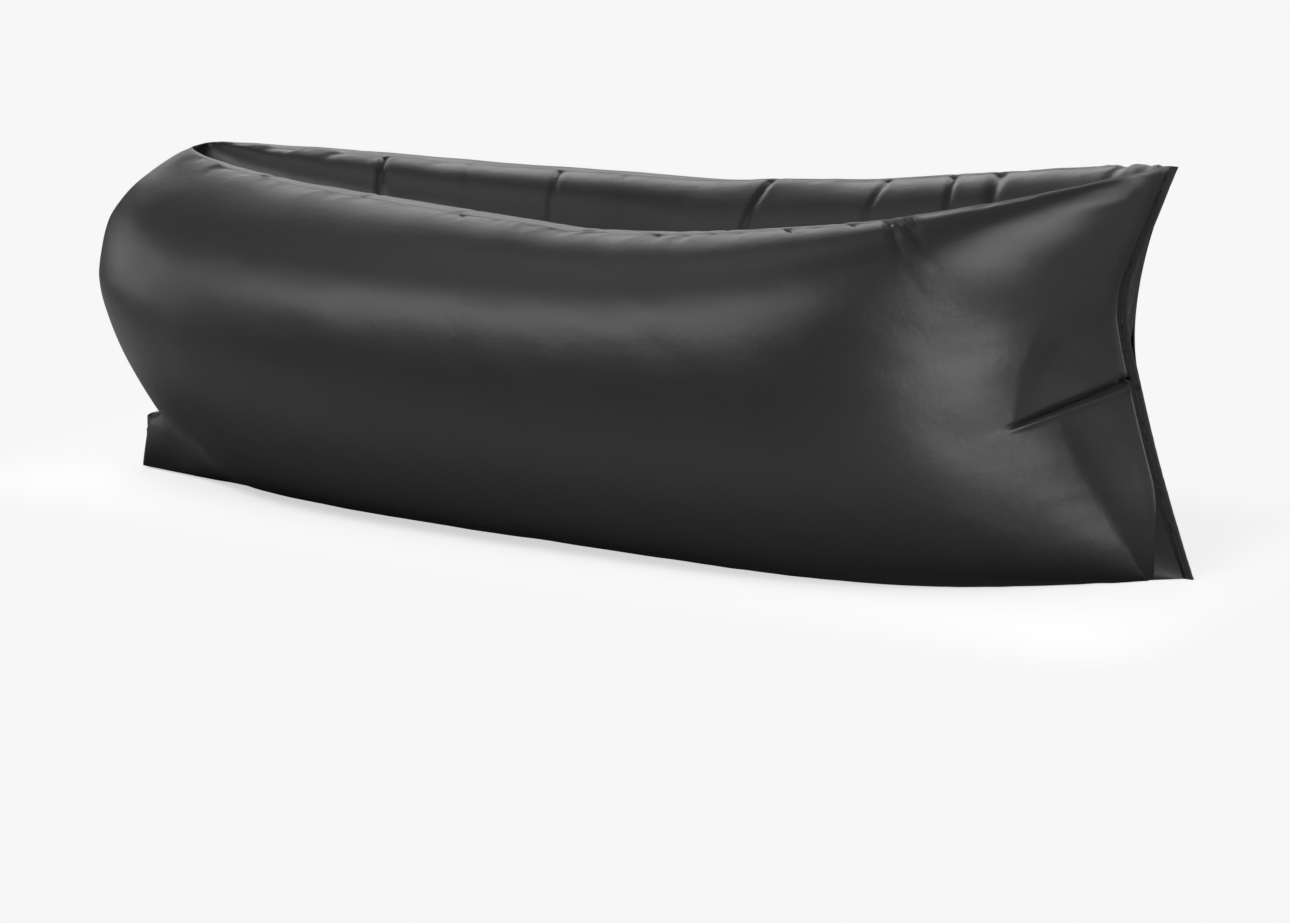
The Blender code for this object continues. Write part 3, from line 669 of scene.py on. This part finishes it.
def mouth_fin(along, turn, points):
    """The corner of fabric that stands beside the roll's end: the outer side runs straight on to the fin's
    edge, and folds back behind it to the tube's tucked end."""
    first = tube_form(np.full_like(along, FIN_LEAVES), turn)
    last = tube_form(np.full_like(along, FIN_RETURNS), turn)
    z = first[..., 2]
    edge = np.stack([FIN_EDGE_X + FIN_EDGE_LEAN * z, FIN_EDGE_Y + 0 * z, z], -1)
    out = np.clip((FIN_LEAVES - along) / (FIN_LEAVES - FIN_TIP), 0, 1)[..., None]
    home = np.clip((FIN_TIP - along) / (FIN_TIP - FIN_RETURNS), 0, 1)[..., None]
    straight = first + (edge - first) * out
    behind = edge + np.array([0, FIN_THICKNESS, 0]) * np.minimum(home * 20, 1) + (last - edge) * home
    fin = np.where(along[..., None] > FIN_TIP, straight, behind)
    band = eased(z, 0.0, 0.003) * (1 - eased(z, *FIN_TOP)) * (turn < pi / 2)
    band = band * (along < FIN_LEAVES) * (along > FIN_RETURNS)
    return points + (fin - points) * band[..., None]


def taut_to_seam(points, edge, flat):
    """The tube's side past a taut fold: straight from it to the seam, with flat fabric beside the seam."""
    x, y, _ = np.moveaxis(points, -1, 0)
    past = x > edge
    first = np.argmax(past, axis=0)[None]
    fold_x, fold_y = np.take_along_axis(x, first, 0), np.take_along_axis(y, first, 0)
    end_x = x[-1:] - flat
    share = np.clip((end_x - x) / np.maximum(end_x - fold_x, 0.004), 0, 1)
    straight = np.maximum(-np.hypot(fold_y * share, FOLD_ROUNDING), y)
    return np.where(past & (fold_x < end_x), straight, y)


def raised(x, edge):
    """How far the fabric stands out beside a taut fold."""
    off = x - edge + 0.006
    return bell(off, np.where(off < 0, 0.060, 0.014))


def hollow(points, side):
    """How far the sewn end's outer face sinks in: a taut fold bounds it, and a crease parts it in two."""
    x, y, z = np.moveaxis(points, -1, 0)
    over = eased(z - 0.275 - (x - 0.788) * CREASE_RISE, -0.016, 0.004)
    upper, lower = np.interp(z, *UPPER_FOLD), np.interp(z, *LOWER_FOLD)
    if side > 0:
        upper = upper + np.interp(z, *FAR_FOLD_SHIFT)
    flat = 0.004 + 0.032 * (1 - eased(z[-1:], 0.0, 0.17))
    sunk_over = (taut_to_seam(points, upper, 0.004) - y) * over
    sunk = sunk_over + (taut_to_seam(points, lower, flat) - y) * (1 - over)
    proud = raised(x, upper) * over * eased(z, 0.27, 0.42) * (1 - eased(z, 0.62, 0.66))
    proud_below = raised(x, lower) * (1 - over) * eased(z, 0.0, 0.08) * (1 - eased(z, 0.20, 0.30))
    proud += proud_below * LOWER_PROUD_SHARE
    return sunk - FOLD_PROUD * proud * eased(-y, 0.0, 0.05)


def slit(points):
    """The sharp crease along its line, widest and deepest at its end, with a lip below it. Its second value
    is how far a place is down in the crease, painted as shade there."""
    start, end = np.array(CREASE_START), np.array(CREASE_END)
    run = end - start
    share = np.clip(((points - start)[..., (0, 2)] @ run[[0, 2]]) / (run[[0, 2]] @ run[[0, 2]]), 0, 1)
    middle = start + share[..., None] * run
    off = points - middle
    across = off[..., 2] - off[..., 0] * run[2] / run[0]
    distance = np.hypot(off[..., 0], off[..., 2])
    wide = CREASE_WIDTH * (0.7 + 0.9 * share)
    beside = np.clip(-points[..., 1] / 0.010, 0, 1)
    strength = eased(share, -0.02, 0.25)
    valley = bell(distance, wide)
    bulge = CREASE_LIP * bell(across + 2.6 * wide, 1.7 * wide) * (distance < 8 * wide)
    height = (bulge - CREASE_DEPTH * (0.5 + 0.5 * share) * valley) * strength * beside
    return height, valley * strength


def pleat(x, down, at, lean, reach, width, depth):
    """A fold that runs down from the ridge at x = at: a narrow valley between two low shoulders. Its second
    value is how far a place is down in the valley, painted as shade there."""
    off = (x - at - lean * down) / width
    fade = bell(down, reach) * eased(down, -0.004, 0.012)
    shoulder = 0.10 * bell(off - 2.6, 1.8) + 0.08 * bell(off + 2.4, 1.6)
    valley = bell(off, 1.0)
    return fade * depth * (shoulder - valley), fade * valley * min(depth / 0.005, 1)


def ridge_column(turn):
    """The column of a tube's points that runs along its top ridge."""
    return int(np.argmin(np.abs(turn - pi)))


def tube_folds(points, turn, pleats_out, pleats_in, seed, swell):
    """How far the fabric stands out of, or in from, the filled form, its creasing with a pale line along the
    ridge that is partly wear from rubbing and partly a painted highlight, and its painted shade down in folds
    and along the bottom."""
    x, y, z = np.moveaxis(points, -1, 0)
    ring = lengths_along(np.concatenate([points, points[:, :1]], axis=1), 1)
    top = ridge_column(turn)
    ridge = ring[:, :-1] - ring[:, top : top + 1]
    down_out = np.where(turn[None] <= pi, -ridge, 9.0)
    down_in = np.where(turn[None] >= pi, ridge, 9.0)
    down = np.abs(ridge)
    floor = np.minimum(ring[:, :-1], ring[:, -1:] - ring[:, :-1])
    full = eased(np.abs(y) + 0.25 * (1 - eased(np.abs(x), 0.75, 0.95)), 0.002, 0.05)
    full *= eased(x[-1:] - x, 0.002, 0.045)

    moved = np.zeros_like(x)
    # Painted shade along the outer side's bottom, by the floor
    shade = 0.75 * (1 - eased(z, 0.0, 0.085)) * (turn < pi / 2)
    for pleats, beside in ((pleats_out, down_out), (pleats_in, down_in)):
        for fold in pleats:
            height, valley = pleat(x, beside, *fold)
            moved += height
            shade = np.maximum(shade, valley)

    gather = cell_noise(x * 42 + 0.6 * np.sin(down * 40), down * 5, seed) * np.exp(-down / 0.045)
    gather += 0.6 * cell_noise(x * 75, down * 9, seed + 1) * np.exp(-down / 0.02)
    moved += RIDGE_GATHERS * gather * (0.4 + eased(cell_noise(x * 5, 0 * x, seed + 2), -0.2, 0.8))
    moved += FLOOR_GATHERS * cell_noise(x * 38, floor * 6, seed + 3) * np.exp(-floor / 0.05)
    moved += BROAD_WAVES * cell_noise(x * 4.5, z * 6 + y * 4, seed + 4)
    moved += SMALL_WAVES * cell_noise(x * 15 + z * 7, z * 18 + y * 9, seed + 5)

    ends = eased(x, 0.80, 0.95)
    fan = cell_noise(z * 48 - x * 10, x * 6, seed + 6)
    fan = fan + 0.5 * cell_noise(z * 95 - x * 18, x * 10, seed + 7)
    moved += FAN_WAVES * fan * ends * (1 - eased(x, 0.975, 1.01)) * eased(z, 0.05, 0.20)
    mouth = 1 - eased(x, -1.0, -0.80)
    moved += MOUTH_WAVES * cell_noise(z * 30 + y * 12, y * 10 + x * 8, seed + 8) * mouth

    moved += np.interp(x, *SEAM_BEAD) * bell(down, SEAM_BEAD_WIDTH) * eased(full, 0.0, 1.0)
    moved += swell * bell(x - SWELL_X, 0.13) * bell(down, 0.06)
    moved -= FLOOR_SEAM_DEPTH * bell(floor, 0.004)
    # The pale line along the ridge, paler towards the sewn end: partly wear from rubbing, partly a painted
    # highlight
    rubbed_and_highlight = np.interp(x, *RUBBED_AND_HIGHLIGHT) * bell(down, np.interp(x, *RUBBED_AND_HIGHLIGHT_WIDTH))
    crease = np.clip(np.abs(moved) / 0.004, 0, 1) * 0.25 + rubbed_and_highlight
    return moved * full, crease, shade


def tube(name, side, pleats_out, pleats_in, seed, swell):
    """A filled tube of two panels, as one cover, and the film bladder inside it. It is shaped as the near
    tube, and mirrored for the far one. Gives the cover's points and its ridge's column."""
    turn = tube_turns(COVER_COLUMNS)
    along, round_it = np.meshgrid(tube_rows(COVER_ROWS), turn, indexing="ij")
    outer_side = round_it < pi
    held = tube_form(along, round_it)
    points = mouth_fin(along, round_it, held)
    sunk = hollow(points, side) * outer_side
    points[..., 1] += sunk
    held[..., 1] += sunk
    normal = outward(points)
    moved, crease, shade = tube_folds(points, turn, pleats_out, pleats_in, seed, swell)
    slit_height, slit_shade = slit(points)
    moved += slit_height * outer_side
    tucked = 1 - eased(-along, 0.86, 0.95)
    moved, crease = moved * tucked, crease * tucked
    shade = np.maximum(shade, slit_shade * outer_side)
    cover = points + normal * moved[..., None]
    cover[..., 1] = np.minimum(cover[..., 1], -HALF_GAP)
    cover[..., 2] = np.maximum(cover[..., 2], FLOOR_GAP)
    flange = cover[-1] + np.array([SEAM_FLANGE_WIDTH - 0.001, 0, 0])
    cover = np.concatenate([cover, flange[None]], axis=0)
    crease = np.concatenate([crease, crease[-1:]], axis=0)
    shade = np.concatenate([shade, shade[-1:]], axis=0)
    first = int(np.argmax(along[:, 0] > FILM_FIRST))
    middle = held.mean(axis=1, keepdims=True)
    inner = middle + (held - middle) * FILM_SHARE
    inner = inner[first:-FILM_ROWS_SHORT:FILM_STEP, ::FILM_STEP]
    inner[..., 2] = np.clip(inner[..., 2], FILM_LOWEST, None)
    for mesh_points in (cover, inner):
        mesh_points[..., 1] *= -side
    # The first carries creasing and the ridge's painted highlight, the second the painted shade
    values = {"CreaseAndHighlight": crease, "PaintedShade": shade}
    made = skin(f"{name}_tube_cover", cover, SATIN, capped=True, flip=side > 0, values=values)
    belongs(made, "fabric", f"{name}_outer_panel", f"{name}_inner_panel")
    film = skin(f"{name}_air_film", inner, FILM, capped=True, flip=side > 0)
    belongs(film, "film", f"{name}_bladder")
    return cover, ridge_column(turn)


near_grid, top_column = tube("near", -1, NEAR_RIM_FOLDS, NEAR_TROUGH_FOLDS, 11, 0.0)
far_grid, _ = tube("far", 1, FAR_RIM_FOLDS, FAR_TROUGH_FOLDS, 47, 0.009)


# Stitches --------------------------------------


def stitch_tree():
    """Geometry Nodes: stitches of one length, laid end to end with a gap along a line."""
    tree = bpy.data.node_groups.new("Stitch line", "GeometryNodeTree")
    tree.interface.new_socket("Line", in_out="INPUT", socket_type="NodeSocketGeometry")
    for name in ("Pitch", "Stitch length", "Thread radius"):
        tree.interface.new_socket(name, in_out="INPUT", socket_type="NodeSocketFloat")
    tree.interface.new_socket("Finish", in_out="INPUT", socket_type="NodeSocketMaterial")
    tree.interface.new_socket("Stitches", in_out="OUTPUT", socket_type="NodeSocketGeometry")
    kinds = (
        "NodeGroupInput",
        "GeometryNodeMeshToCurve",
        "GeometryNodeCurveToPoints",
        "GeometryNodeMeshUVSphere",
        "ShaderNodeCombineXYZ",
        "ShaderNodeMath",
        "GeometryNodeTransform",
        "GeometryNodeInstanceOnPoints",
        "GeometryNodeRealizeInstances",
        "GeometryNodeSetMaterial",
        "NodeGroupOutput",
    )
    given, line, spots, one, size, half, shape, put, real, paint, out = (tree.nodes.new(k) for k in kinds)
    spots.mode = "LENGTH"
    for name, value in (("Segments", 6), ("Rings", 5), ("Radius", 1.0)):
        one.inputs[name].default_value = value
    half.operation = "MULTIPLY"
    half.inputs[1].default_value = 0.5
    joined = (
        (given, "Line", line, "Mesh"),
        (line, 0, spots, "Curve"),
        (given, "Pitch", spots, "Length"),
        (given, "Stitch length", half, 0),
        (given, "Thread radius", size, "X"),
        (given, "Thread radius", size, "Y"),
        (half, 0, size, "Z"),
        (one, "Mesh", shape, "Geometry"),
        (size, 0, shape, "Scale"),
        (spots, "Points", put, "Points"),
        (spots, "Rotation", put, "Rotation"),
        (shape, 0, put, "Instance"),
        (put, 0, real, 0),
        (real, 0, paint, "Geometry"),
        (given, "Finish", paint, "Material"),
        (paint, 0, out, 0),
    )
    for source, output, target, socket in joined:
        tree.links.new(source.outputs[output], target.inputs[socket])
    return tree


STITCHES = stitch_tree()


def stitch_lines(name, lines, stitch, slot):
    """Stitches along each line of points, as one mesh."""
    bm = bmesh.new()
    for line in lines:
        verts = [bm.verts.new(p) for p in line]
        for a, b in zip(verts, verts[1:]):
            bm.edges.new((a, b))
    mesh = bpy.data.meshes.new(name)
    bm.to_mesh(mesh)
    bm.free()
    made = bpy.data.objects.new(name, mesh)
    bpy.context.scene.collection.objects.link(made)
    rows = made.modifiers.new("Stitches", "NODES")
    rows.node_group = STITCHES
    sockets = {s.name: s.identifier for s in STITCHES.interface.items_tree if s.in_out == "INPUT"}
    for key, value in zip(("Pitch", "Stitch length", "Thread radius", "Finish"), (*stitch, THREAD)):
        rows[sockets[key]] = value
    shown = made.evaluated_get(bpy.context.evaluated_depsgraph_get())
    result = bpy.data.meshes.new_from_object(shown)
    made.modifiers.clear()
    made.data = result
    result.name = name
    result.shade_smooth()
    belongs(made, slot)


def ridge_line(grid, offset):
    """A line beside a tube's top ridge, on the fabric."""
    column = grid[:-1, top_column + offset]
    keep = (column[:, 0] > -0.985) & (column[:, 0] < 0.90)
    return column[keep] + np.array([0, 0, RIDGE_STITCH_LIFT])


stitch_lines("near_ridge_stitches", [ridge_line(near_grid, RIDGE_STITCH_COLUMNS)], RIDGE_STITCH, "fabric")
stitch_lines("far_ridge_stitches", [ridge_line(far_grid, -RIDGE_STITCH_COLUMNS)], RIDGE_STITCH, "fabric")


# Sewn end's tape -------------------------------


def end_tape():
    """Tape folded over the sewn edges, a little wavy between its stitches."""
    rise = np.linspace(-1, 1, TAPE_ROWS)
    z = SEWN_END_HEIGHT * (1 + rise) / 2
    edge = MIDDLE_X + LONG_SIDE - SEAM_FLANGE_WIDTH - smooth_draw(z / SEWN_END_HEIGHT)
    top = edge + SEAM_FLANGE_WIDTH + TAPE_PAST_EDGE
    ripple = 0.00035 * cell_noise(z * 120, 0 * z, 5) + 0.0002 * cell_noise(z * 260, 0 * z, 6)
    near = [np.stack([top + b, -(h + ripple), z], -1) for b, h in zip(TAPE_BACK, TAPE_HALF)]
    far = [np.stack([top + b, h + ripple, z], -1) for b, h in zip(TAPE_BACK[::-1], TAPE_HALF[::-1])]
    hems = [np.stack([top - 0.0118, 0 * z + h, z], -1) for h in (0.0021, -0.0021)]
    points = np.stack(near + far + hems, axis=1)
    points[..., 2] = np.clip(points[..., 2], 0.0015, SEWN_END_HEIGHT - 0.0003)
    made = skin("sewn_end_tape", points, TAPE, capped=True)
    belongs(made, "binding", "end_binding")
    lines = [points[2:-2, column] + np.array([0, y, 0]) for column, y in ((1, -0.0001), (10, 0.0001))]
    stitch_lines("tape_stitches", lines, TAPE_STITCH, "binding")


end_tape()


# Rolled mouth ----------------------------------


def roll_middle(y):
    """Where the roll's middle line is in x: bowed, and straight in its outermost stretch."""
    inner = ROLL_X - ROLL_BOW * (np.minimum(np.abs(y), ROLL_ROOT) / ROLL_HALF) ** 2
    lean = -ROLL_BOW * (1 - (ROLL_ROOT / ROLL_HALF) ** 2) / (ROLL_HALF - ROLL_ROOT)
    return inner + lean * np.maximum(np.abs(y) - ROLL_ROOT, 0)


def spiral(offset):
    """Places (x, z) along the flattened spiral, moved out by offset."""
    angle = np.linspace(0, 2 * pi * ROLL_TURNS, ROLL_STEPS)
    radius = CORE_HALF + LAYER / 2 + PITCH * angle / (2 * pi) + offset
    straight = ROLL_STRAIGHT * np.tanh(np.sin(angle + pi / 12) * 9)
    return np.stack([radius * np.cos(angle), radius * np.sin(angle) + straight], -1)


def ring_ends(rows, columns):
    """The faces between the outer and the inner half of a layer's first and last ring."""
    for start in (0, (rows - 1) * columns):
        for i in range(columns // 2 - 1):
            last = start + columns - 1 - i
            yield start + i, start + i + 1, last - 1, last


def mouth_roll():
    """The hems' layers, rolled up three turns: each turn is three layers of fabric and film on each other."""
    end = np.linspace(ROLL_HALF - ROLL_END_WIDTH, ROLL_HALF, ROLL_END_ROWS)
    start = np.linspace(-ROLL_HALF, -ROLL_HALF + ROLL_END_WIDTH, ROLL_END_ROWS)
    y = np.concatenate([start, np.linspace(-ROLL_ROOT, ROLL_ROOT, ROLL_ROWS), end])
    for k, (low, high) in enumerate(ROLL_LAYERS):
        profile = np.concatenate([spiral(high), spiral(low)[::-1]])
        points = np.zeros((len(y), len(profile), 3))
        points[..., 0] = roll_middle(y)[:, None] + profile[None, :, 0]
        points[..., 1] = y[:, None]
        points[..., 2] = ROLL_Z + profile[None, :, 1]
        edge = 0.0015 * cell_noise(np.linspace(0, 20, len(profile)), np.zeros(len(profile)), 70 + k)
        points[0, :, 1] += np.abs(edge)
        points[-1, :, 1] -= np.abs(edge)
        pulled = np.clip((ROLL_REAR_X - points[..., 0]) * 1.3, 0, ROLL_REAR_PULL)
        pulled = np.maximum(pulled, ROLL_TOP_PULL * eased(points[..., 2], 0.070, 0.093))
        points[:ROLL_END_ROWS, :, 1] += pulled[:ROLL_END_ROWS]
        points[-ROLL_END_ROWS:, :, 1] -= pulled[-ROLL_END_ROWS:]
        values = {"CreaseAndHighlight": np.full(points.shape[:2], 0.15)}
        layer = skin(f"mouth_roll_layer_{k + 1}", points, SATIN, values=values)
        with_faces(layer, ring_ends(*points.shape[:2]))
        belongs(layer, "fabric", *(["rolled_mouth"] if k == 0 else []))


mouth_roll()


def mouth_neck():
    """The fabric between the tubes' tucked ends and the roll, in its solid's form, with smaller faces across
    and with cloth lengths for its weave."""
    bm = bmesh.new()
    bm.from_mesh(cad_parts["mouth_neck"].data)
    bmesh.ops.remove_doubles(bm, verts=bm.verts, dist=1e-5)
    wide = [edge for edge in bm.edges if abs(edge.verts[0].co.y - edge.verts[1].co.y) > 0.02]
    bmesh.ops.subdivide_edges(bm, edges=wide, cuts=11, use_grid_fill=True)
    bmesh.ops.triangulate(bm, faces=bm.faces)
    mesh = bpy.data.meshes.new("mouth_gathers")
    bm.to_mesh(mesh)
    bm.free()
    layer = mesh.uv_layers.new(name="Cloth")
    for loop in mesh.loops:
        at = mesh.vertices[loop.vertex_index].co
        layer.data[loop.index].uv = (at.x + at.z, at.y)
    belongs(put_in_scene("mouth_gathers", mesh, SATIN), "fabric", "mouth_neck")


mouth_neck()


# Webbing ---------------------------------------


def rounded(points, radii, steps=6):
    """A path with each corner between its points eased over its own radius."""
    path = [Vector(points[0])]
    for before, corner, after, radius in zip(points, points[1:], points[2:], radii):
        corner = Vector(corner)
        to_before = Vector(before) - corner
        to_after = Vector(after) - corner
        reach = min(radius, to_before.length / 2, to_after.length / 2)
        start = corner + to_before.normalized() * reach
        end = corner + to_after.normalized() * reach
        for step in range(steps + 1):
            share = step / steps
            path.append(start.lerp(corner, share).lerp(corner.lerp(end, share), share))
    path.append(Vector(points[-1]))
    return path


def strap_section():
    """Half the webbing's section as (height, share of half its thickness), and the other half turned over."""
    half = WEBBING_HALF_WIDTH
    places = (-half, -half + 0.0004, -half + 0.0012, 0, half - 0.0012, half - 0.0004)
    one = list(zip(places, (0, 0.7, 1, 1, 1, 0.7)))
    return one + [(-height, -share) for height, share in one]


def webbing(name, side, bar_y):
    """The strap from its root in the roll, round the roll's end, to the buckle's bar and back on itself."""
    end_x = float(roll_middle(np.array(ROLL_HALF)))
    root_x = float(roll_middle(np.array(ROLL_ROOT)))
    half_loop = BAR_HALF_THICKNESS + CLEARANCE + WEBBING / 2
    turn_y = bar_y - side * (BAR_HALF + CLEARANCE + WEBBING / 2)
    leave_y = bar_y + side * BAR_HALF
    neck_y = leave_y + side * 2 * half_loop
    back_x = STRAP_X - WEBBING / 2
    return_x = back_x + WEBBING + CLEARANCE
    points = [
        (root_x, side * ROLL_ROOT),
        (end_x, side * ROLL_HALF),
        (end_x, side * (ROLL_HALF + STRAP_OUT)),
        (back_x + STRAP_CORNER_X, side * (ROLL_HALF + STRAP_OUT)),
        (back_x, side * (ROLL_HALF - STRAP_CORNER_Y)),
        (back_x, neck_y),
        (STRAP_X - half_loop, leave_y),
        (STRAP_X - half_loop, turn_y),
        (STRAP_X + half_loop, turn_y),
        (STRAP_X + half_loop, leave_y),
        (return_x, neck_y),
        (return_x, neck_y + side * WEBBING_RETURN_LENGTH),
    ]
    path = rounded(points, STRAP_BENDS)
    dense = []
    for a, b in zip(path, path[1:]):
        count = max(1, int((b - a).length / STRAP_STEP))
        dense += [a.lerp(b, i / count) for i in range(count)]
    line = np.array([(p.x, p.y) for p in dense + [path[-1]]])
    heading = np.gradient(line, axis=0)
    heading /= np.linalg.norm(heading, axis=1, keepdims=True)
    sideways = np.stack([heading[:, 1], -heading[:, 0]], -1)
    section = strap_section()
    points = np.zeros((len(line), len(section), 3))
    for i, (height, share) in enumerate(section):
        points[:, i, :2] = line + sideways * (WEBBING / 2) * share
        points[:, i, 2] = ROLL_Z + height
    made = skin(f"{name}_strap", points, STRAP, flip=side > 0)
    count = len(section)
    with_faces(made, [range(start, start + count) for start in (0, (len(line) - 1) * count)])
    belongs(made, "webbing", f"webbing_{name}")
    start_y, end_y = neck_y + side * np.array(STITCH_BOX_Y)
    x = return_x + WEBBING / 2 + 0.0001
    low, high = ROLL_Z - STITCH_BOX_HALF, ROLL_Z + STITCH_BOX_HALF
    box = [Vector(c) for c in ((x, start_y, high), (x, end_y, high), (x, end_y, low), (x, start_y, low))]
    ends = ((0, 1), (1, 2), (2, 3), (3, 0), (0, 2), (1, 3))
    lines = [[box[a].lerp(box[b], t / 10) for t in range(11)] for a, b in ends]
    stitch_lines(f"{name}_strap_stitches", lines, STRAP_STITCH, "webbing")


webbing("near", -1, BAR_HALF - MALE_BASE_LENGTH - BUCKLE_MIDDLE)
webbing("far", 1, FEMALE_LENGTH - BAR_HALF - BUCKLE_MIDDLE)


# Hard pieces that keep their CAD shape ---------

HARD_PIECES = (
    (PLASTIC, "buckle_male", "buckle_female", "buckle_prong_lower", "buckle_prong_upper"),
    (STRIP, "mouth_stiffener_back", "mouth_stiffener_front"),
)
for material, *names in HARD_PIECES:
    for name in names:
        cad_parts[name].data.materials.clear()
        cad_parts[name].data.materials.append(material)


# Floor, light and camera -----------------------


def grey(tone):
    return (tone,) * 3


def floor():
    """A pale floor that the camera sees almost unlit, with the shadow close to the lounger and a painted glow
    in it that is paler towards the sewn end. Towards the lounger it throws back more light from some distances
    than from others, as painted shade."""
    bpy.ops.mesh.primitive_circle_add(vertices=96, radius=40, fill_type="NGON", location=(0, 0, -0.0004))
    made = bpy.context.object
    made.name = "studio_floor"
    finish = Finish("Pale studio floor")
    plain = finish.node("ShaderNodeEmission", inputs={"Color": (*grey(PALE), 1), "Strength": 1.0})
    # Painted light: the shaded floor's glow, paler towards the sewn end
    sideways = (finish.part(finish.place(), "X") * 0.45 + 0.5).clamped()
    dim = finish.mixed(sideways, *(grey(tone) for tone in SHADOW_GLOW))
    dimmer = finish.node("ShaderNodeEmission", inputs={"Color": dim, "Strength": 1.0})
    lit = finish.node("ShaderNodeBsdfDiffuse", inputs={"Color": (1, 1, 1, 1)})
    shadowed = finish.node("ShaderNodeAddShader", inputs=[dimmer, lit])
    away = finish.vector("SUBTRACT", finish.vector("ABSOLUTE", finish.place()), FLOOR_PATCH)
    reach = finish.vector("LENGTH", finish.vector("MAXIMUM", away, (0, 0, 0)), output="Value")
    near = 1 - (reach / SHADOW_REACH).clamped()
    seen = finish.node("ShaderNodeMixShader", inputs={0: near, 1: plain, 2: shadowed})
    # Painted shade for what other surfaces see of the floor, by distance from the lounger
    stops = [(place, grey(tone)) for place, tone in PAINTED_FLOOR_SHADE]
    tone = finish.node("ShaderNodeValToRGB", {"stops": stops}, [(reach / FLOOR_REACH).clamped()])
    unseen = finish.node("ShaderNodeBsdfDiffuse", inputs={"Color": tone})
    path = finish.tree.nodes.new("ShaderNodeLightPath")
    looked = Wire(finish, path.outputs["Is Camera Ray"])
    through = Wire(finish, path.outputs["Is Transmission Ray"])
    direct = looked.maths("MAXIMUM", through)
    final = finish.node("ShaderNodeMixShader", inputs={0: direct, 1: unseen, 2: seen})
    finish.tree.links.new(final.output, finish.tree.nodes["Material Output"].inputs["Surface"])
    made.data.materials.append(finish.material)


def surroundings():
    """A pale backdrop for the camera, and a faint fill for everything else."""
    world = bpy.data.worlds.new("Pale surroundings")
    bpy.context.scene.world = world
    world.use_nodes = True
    nodes, links = world.node_tree.nodes, world.node_tree.links
    nodes.clear()
    out = nodes.new("ShaderNodeOutputWorld")
    path = nodes.new("ShaderNodeLightPath")
    mix = nodes.new("ShaderNodeMixShader")
    light = nodes.new("ShaderNodeBackground")
    seen = nodes.new("ShaderNodeBackground")
    light.inputs["Color"].default_value = (1, 1, 1, 1)
    light.inputs["Strength"].default_value = SURROUNDINGS_FILL
    seen.inputs["Color"].default_value = (*grey(PALE), 1)
    links.new(path.outputs["Is Camera Ray"], mix.inputs[0])
    links.new(light.outputs[0], mix.inputs[1])
    links.new(seen.outputs[0], mix.inputs[2])
    links.new(mix.outputs[0], out.inputs["Surface"])


def direction(heading, height):
    """From the lounger, heading round from -Y towards +X and height up from the floor, in radians."""
    return Vector((sin(heading) * cos(height), -cos(heading) * cos(height), sin(height)))


def lamp(name, aim, heading, height, distance, size, power):
    """An area lamp that looks at aim."""
    data = bpy.data.lights.new(name, "AREA")
    data.shape = "RECTANGLE"
    data.size, data.size_y = size
    data.energy = power
    made = bpy.data.objects.new(name, data)
    bpy.context.scene.collection.objects.link(made)
    off = direction(radians(heading), radians(height))
    made.location = Vector(aim) + off * distance
    made.rotation_euler = off.to_track_quat("Z", "Y").to_euler()


floor()
surroundings()
for settings in LAMPS:
    lamp(*settings)

view = bpy.data.cameras.new("Camera")
view.sensor_width = CAMERA_SENSOR
view.lens = CAMERA_LENS
view.clip_end = 200
camera = bpy.data.objects.new("Camera", view)
bpy.context.scene.collection.objects.link(camera)
camera.location = CAMERA_PLACE
camera.rotation_euler = (-direction(CAMERA_YAW, CAMERA_PITCH)).to_track_quat("-Z", "Y").to_euler()
bpy.context.scene.camera = camera
bpy.context.scene.view_settings.view_transform = "Standard"
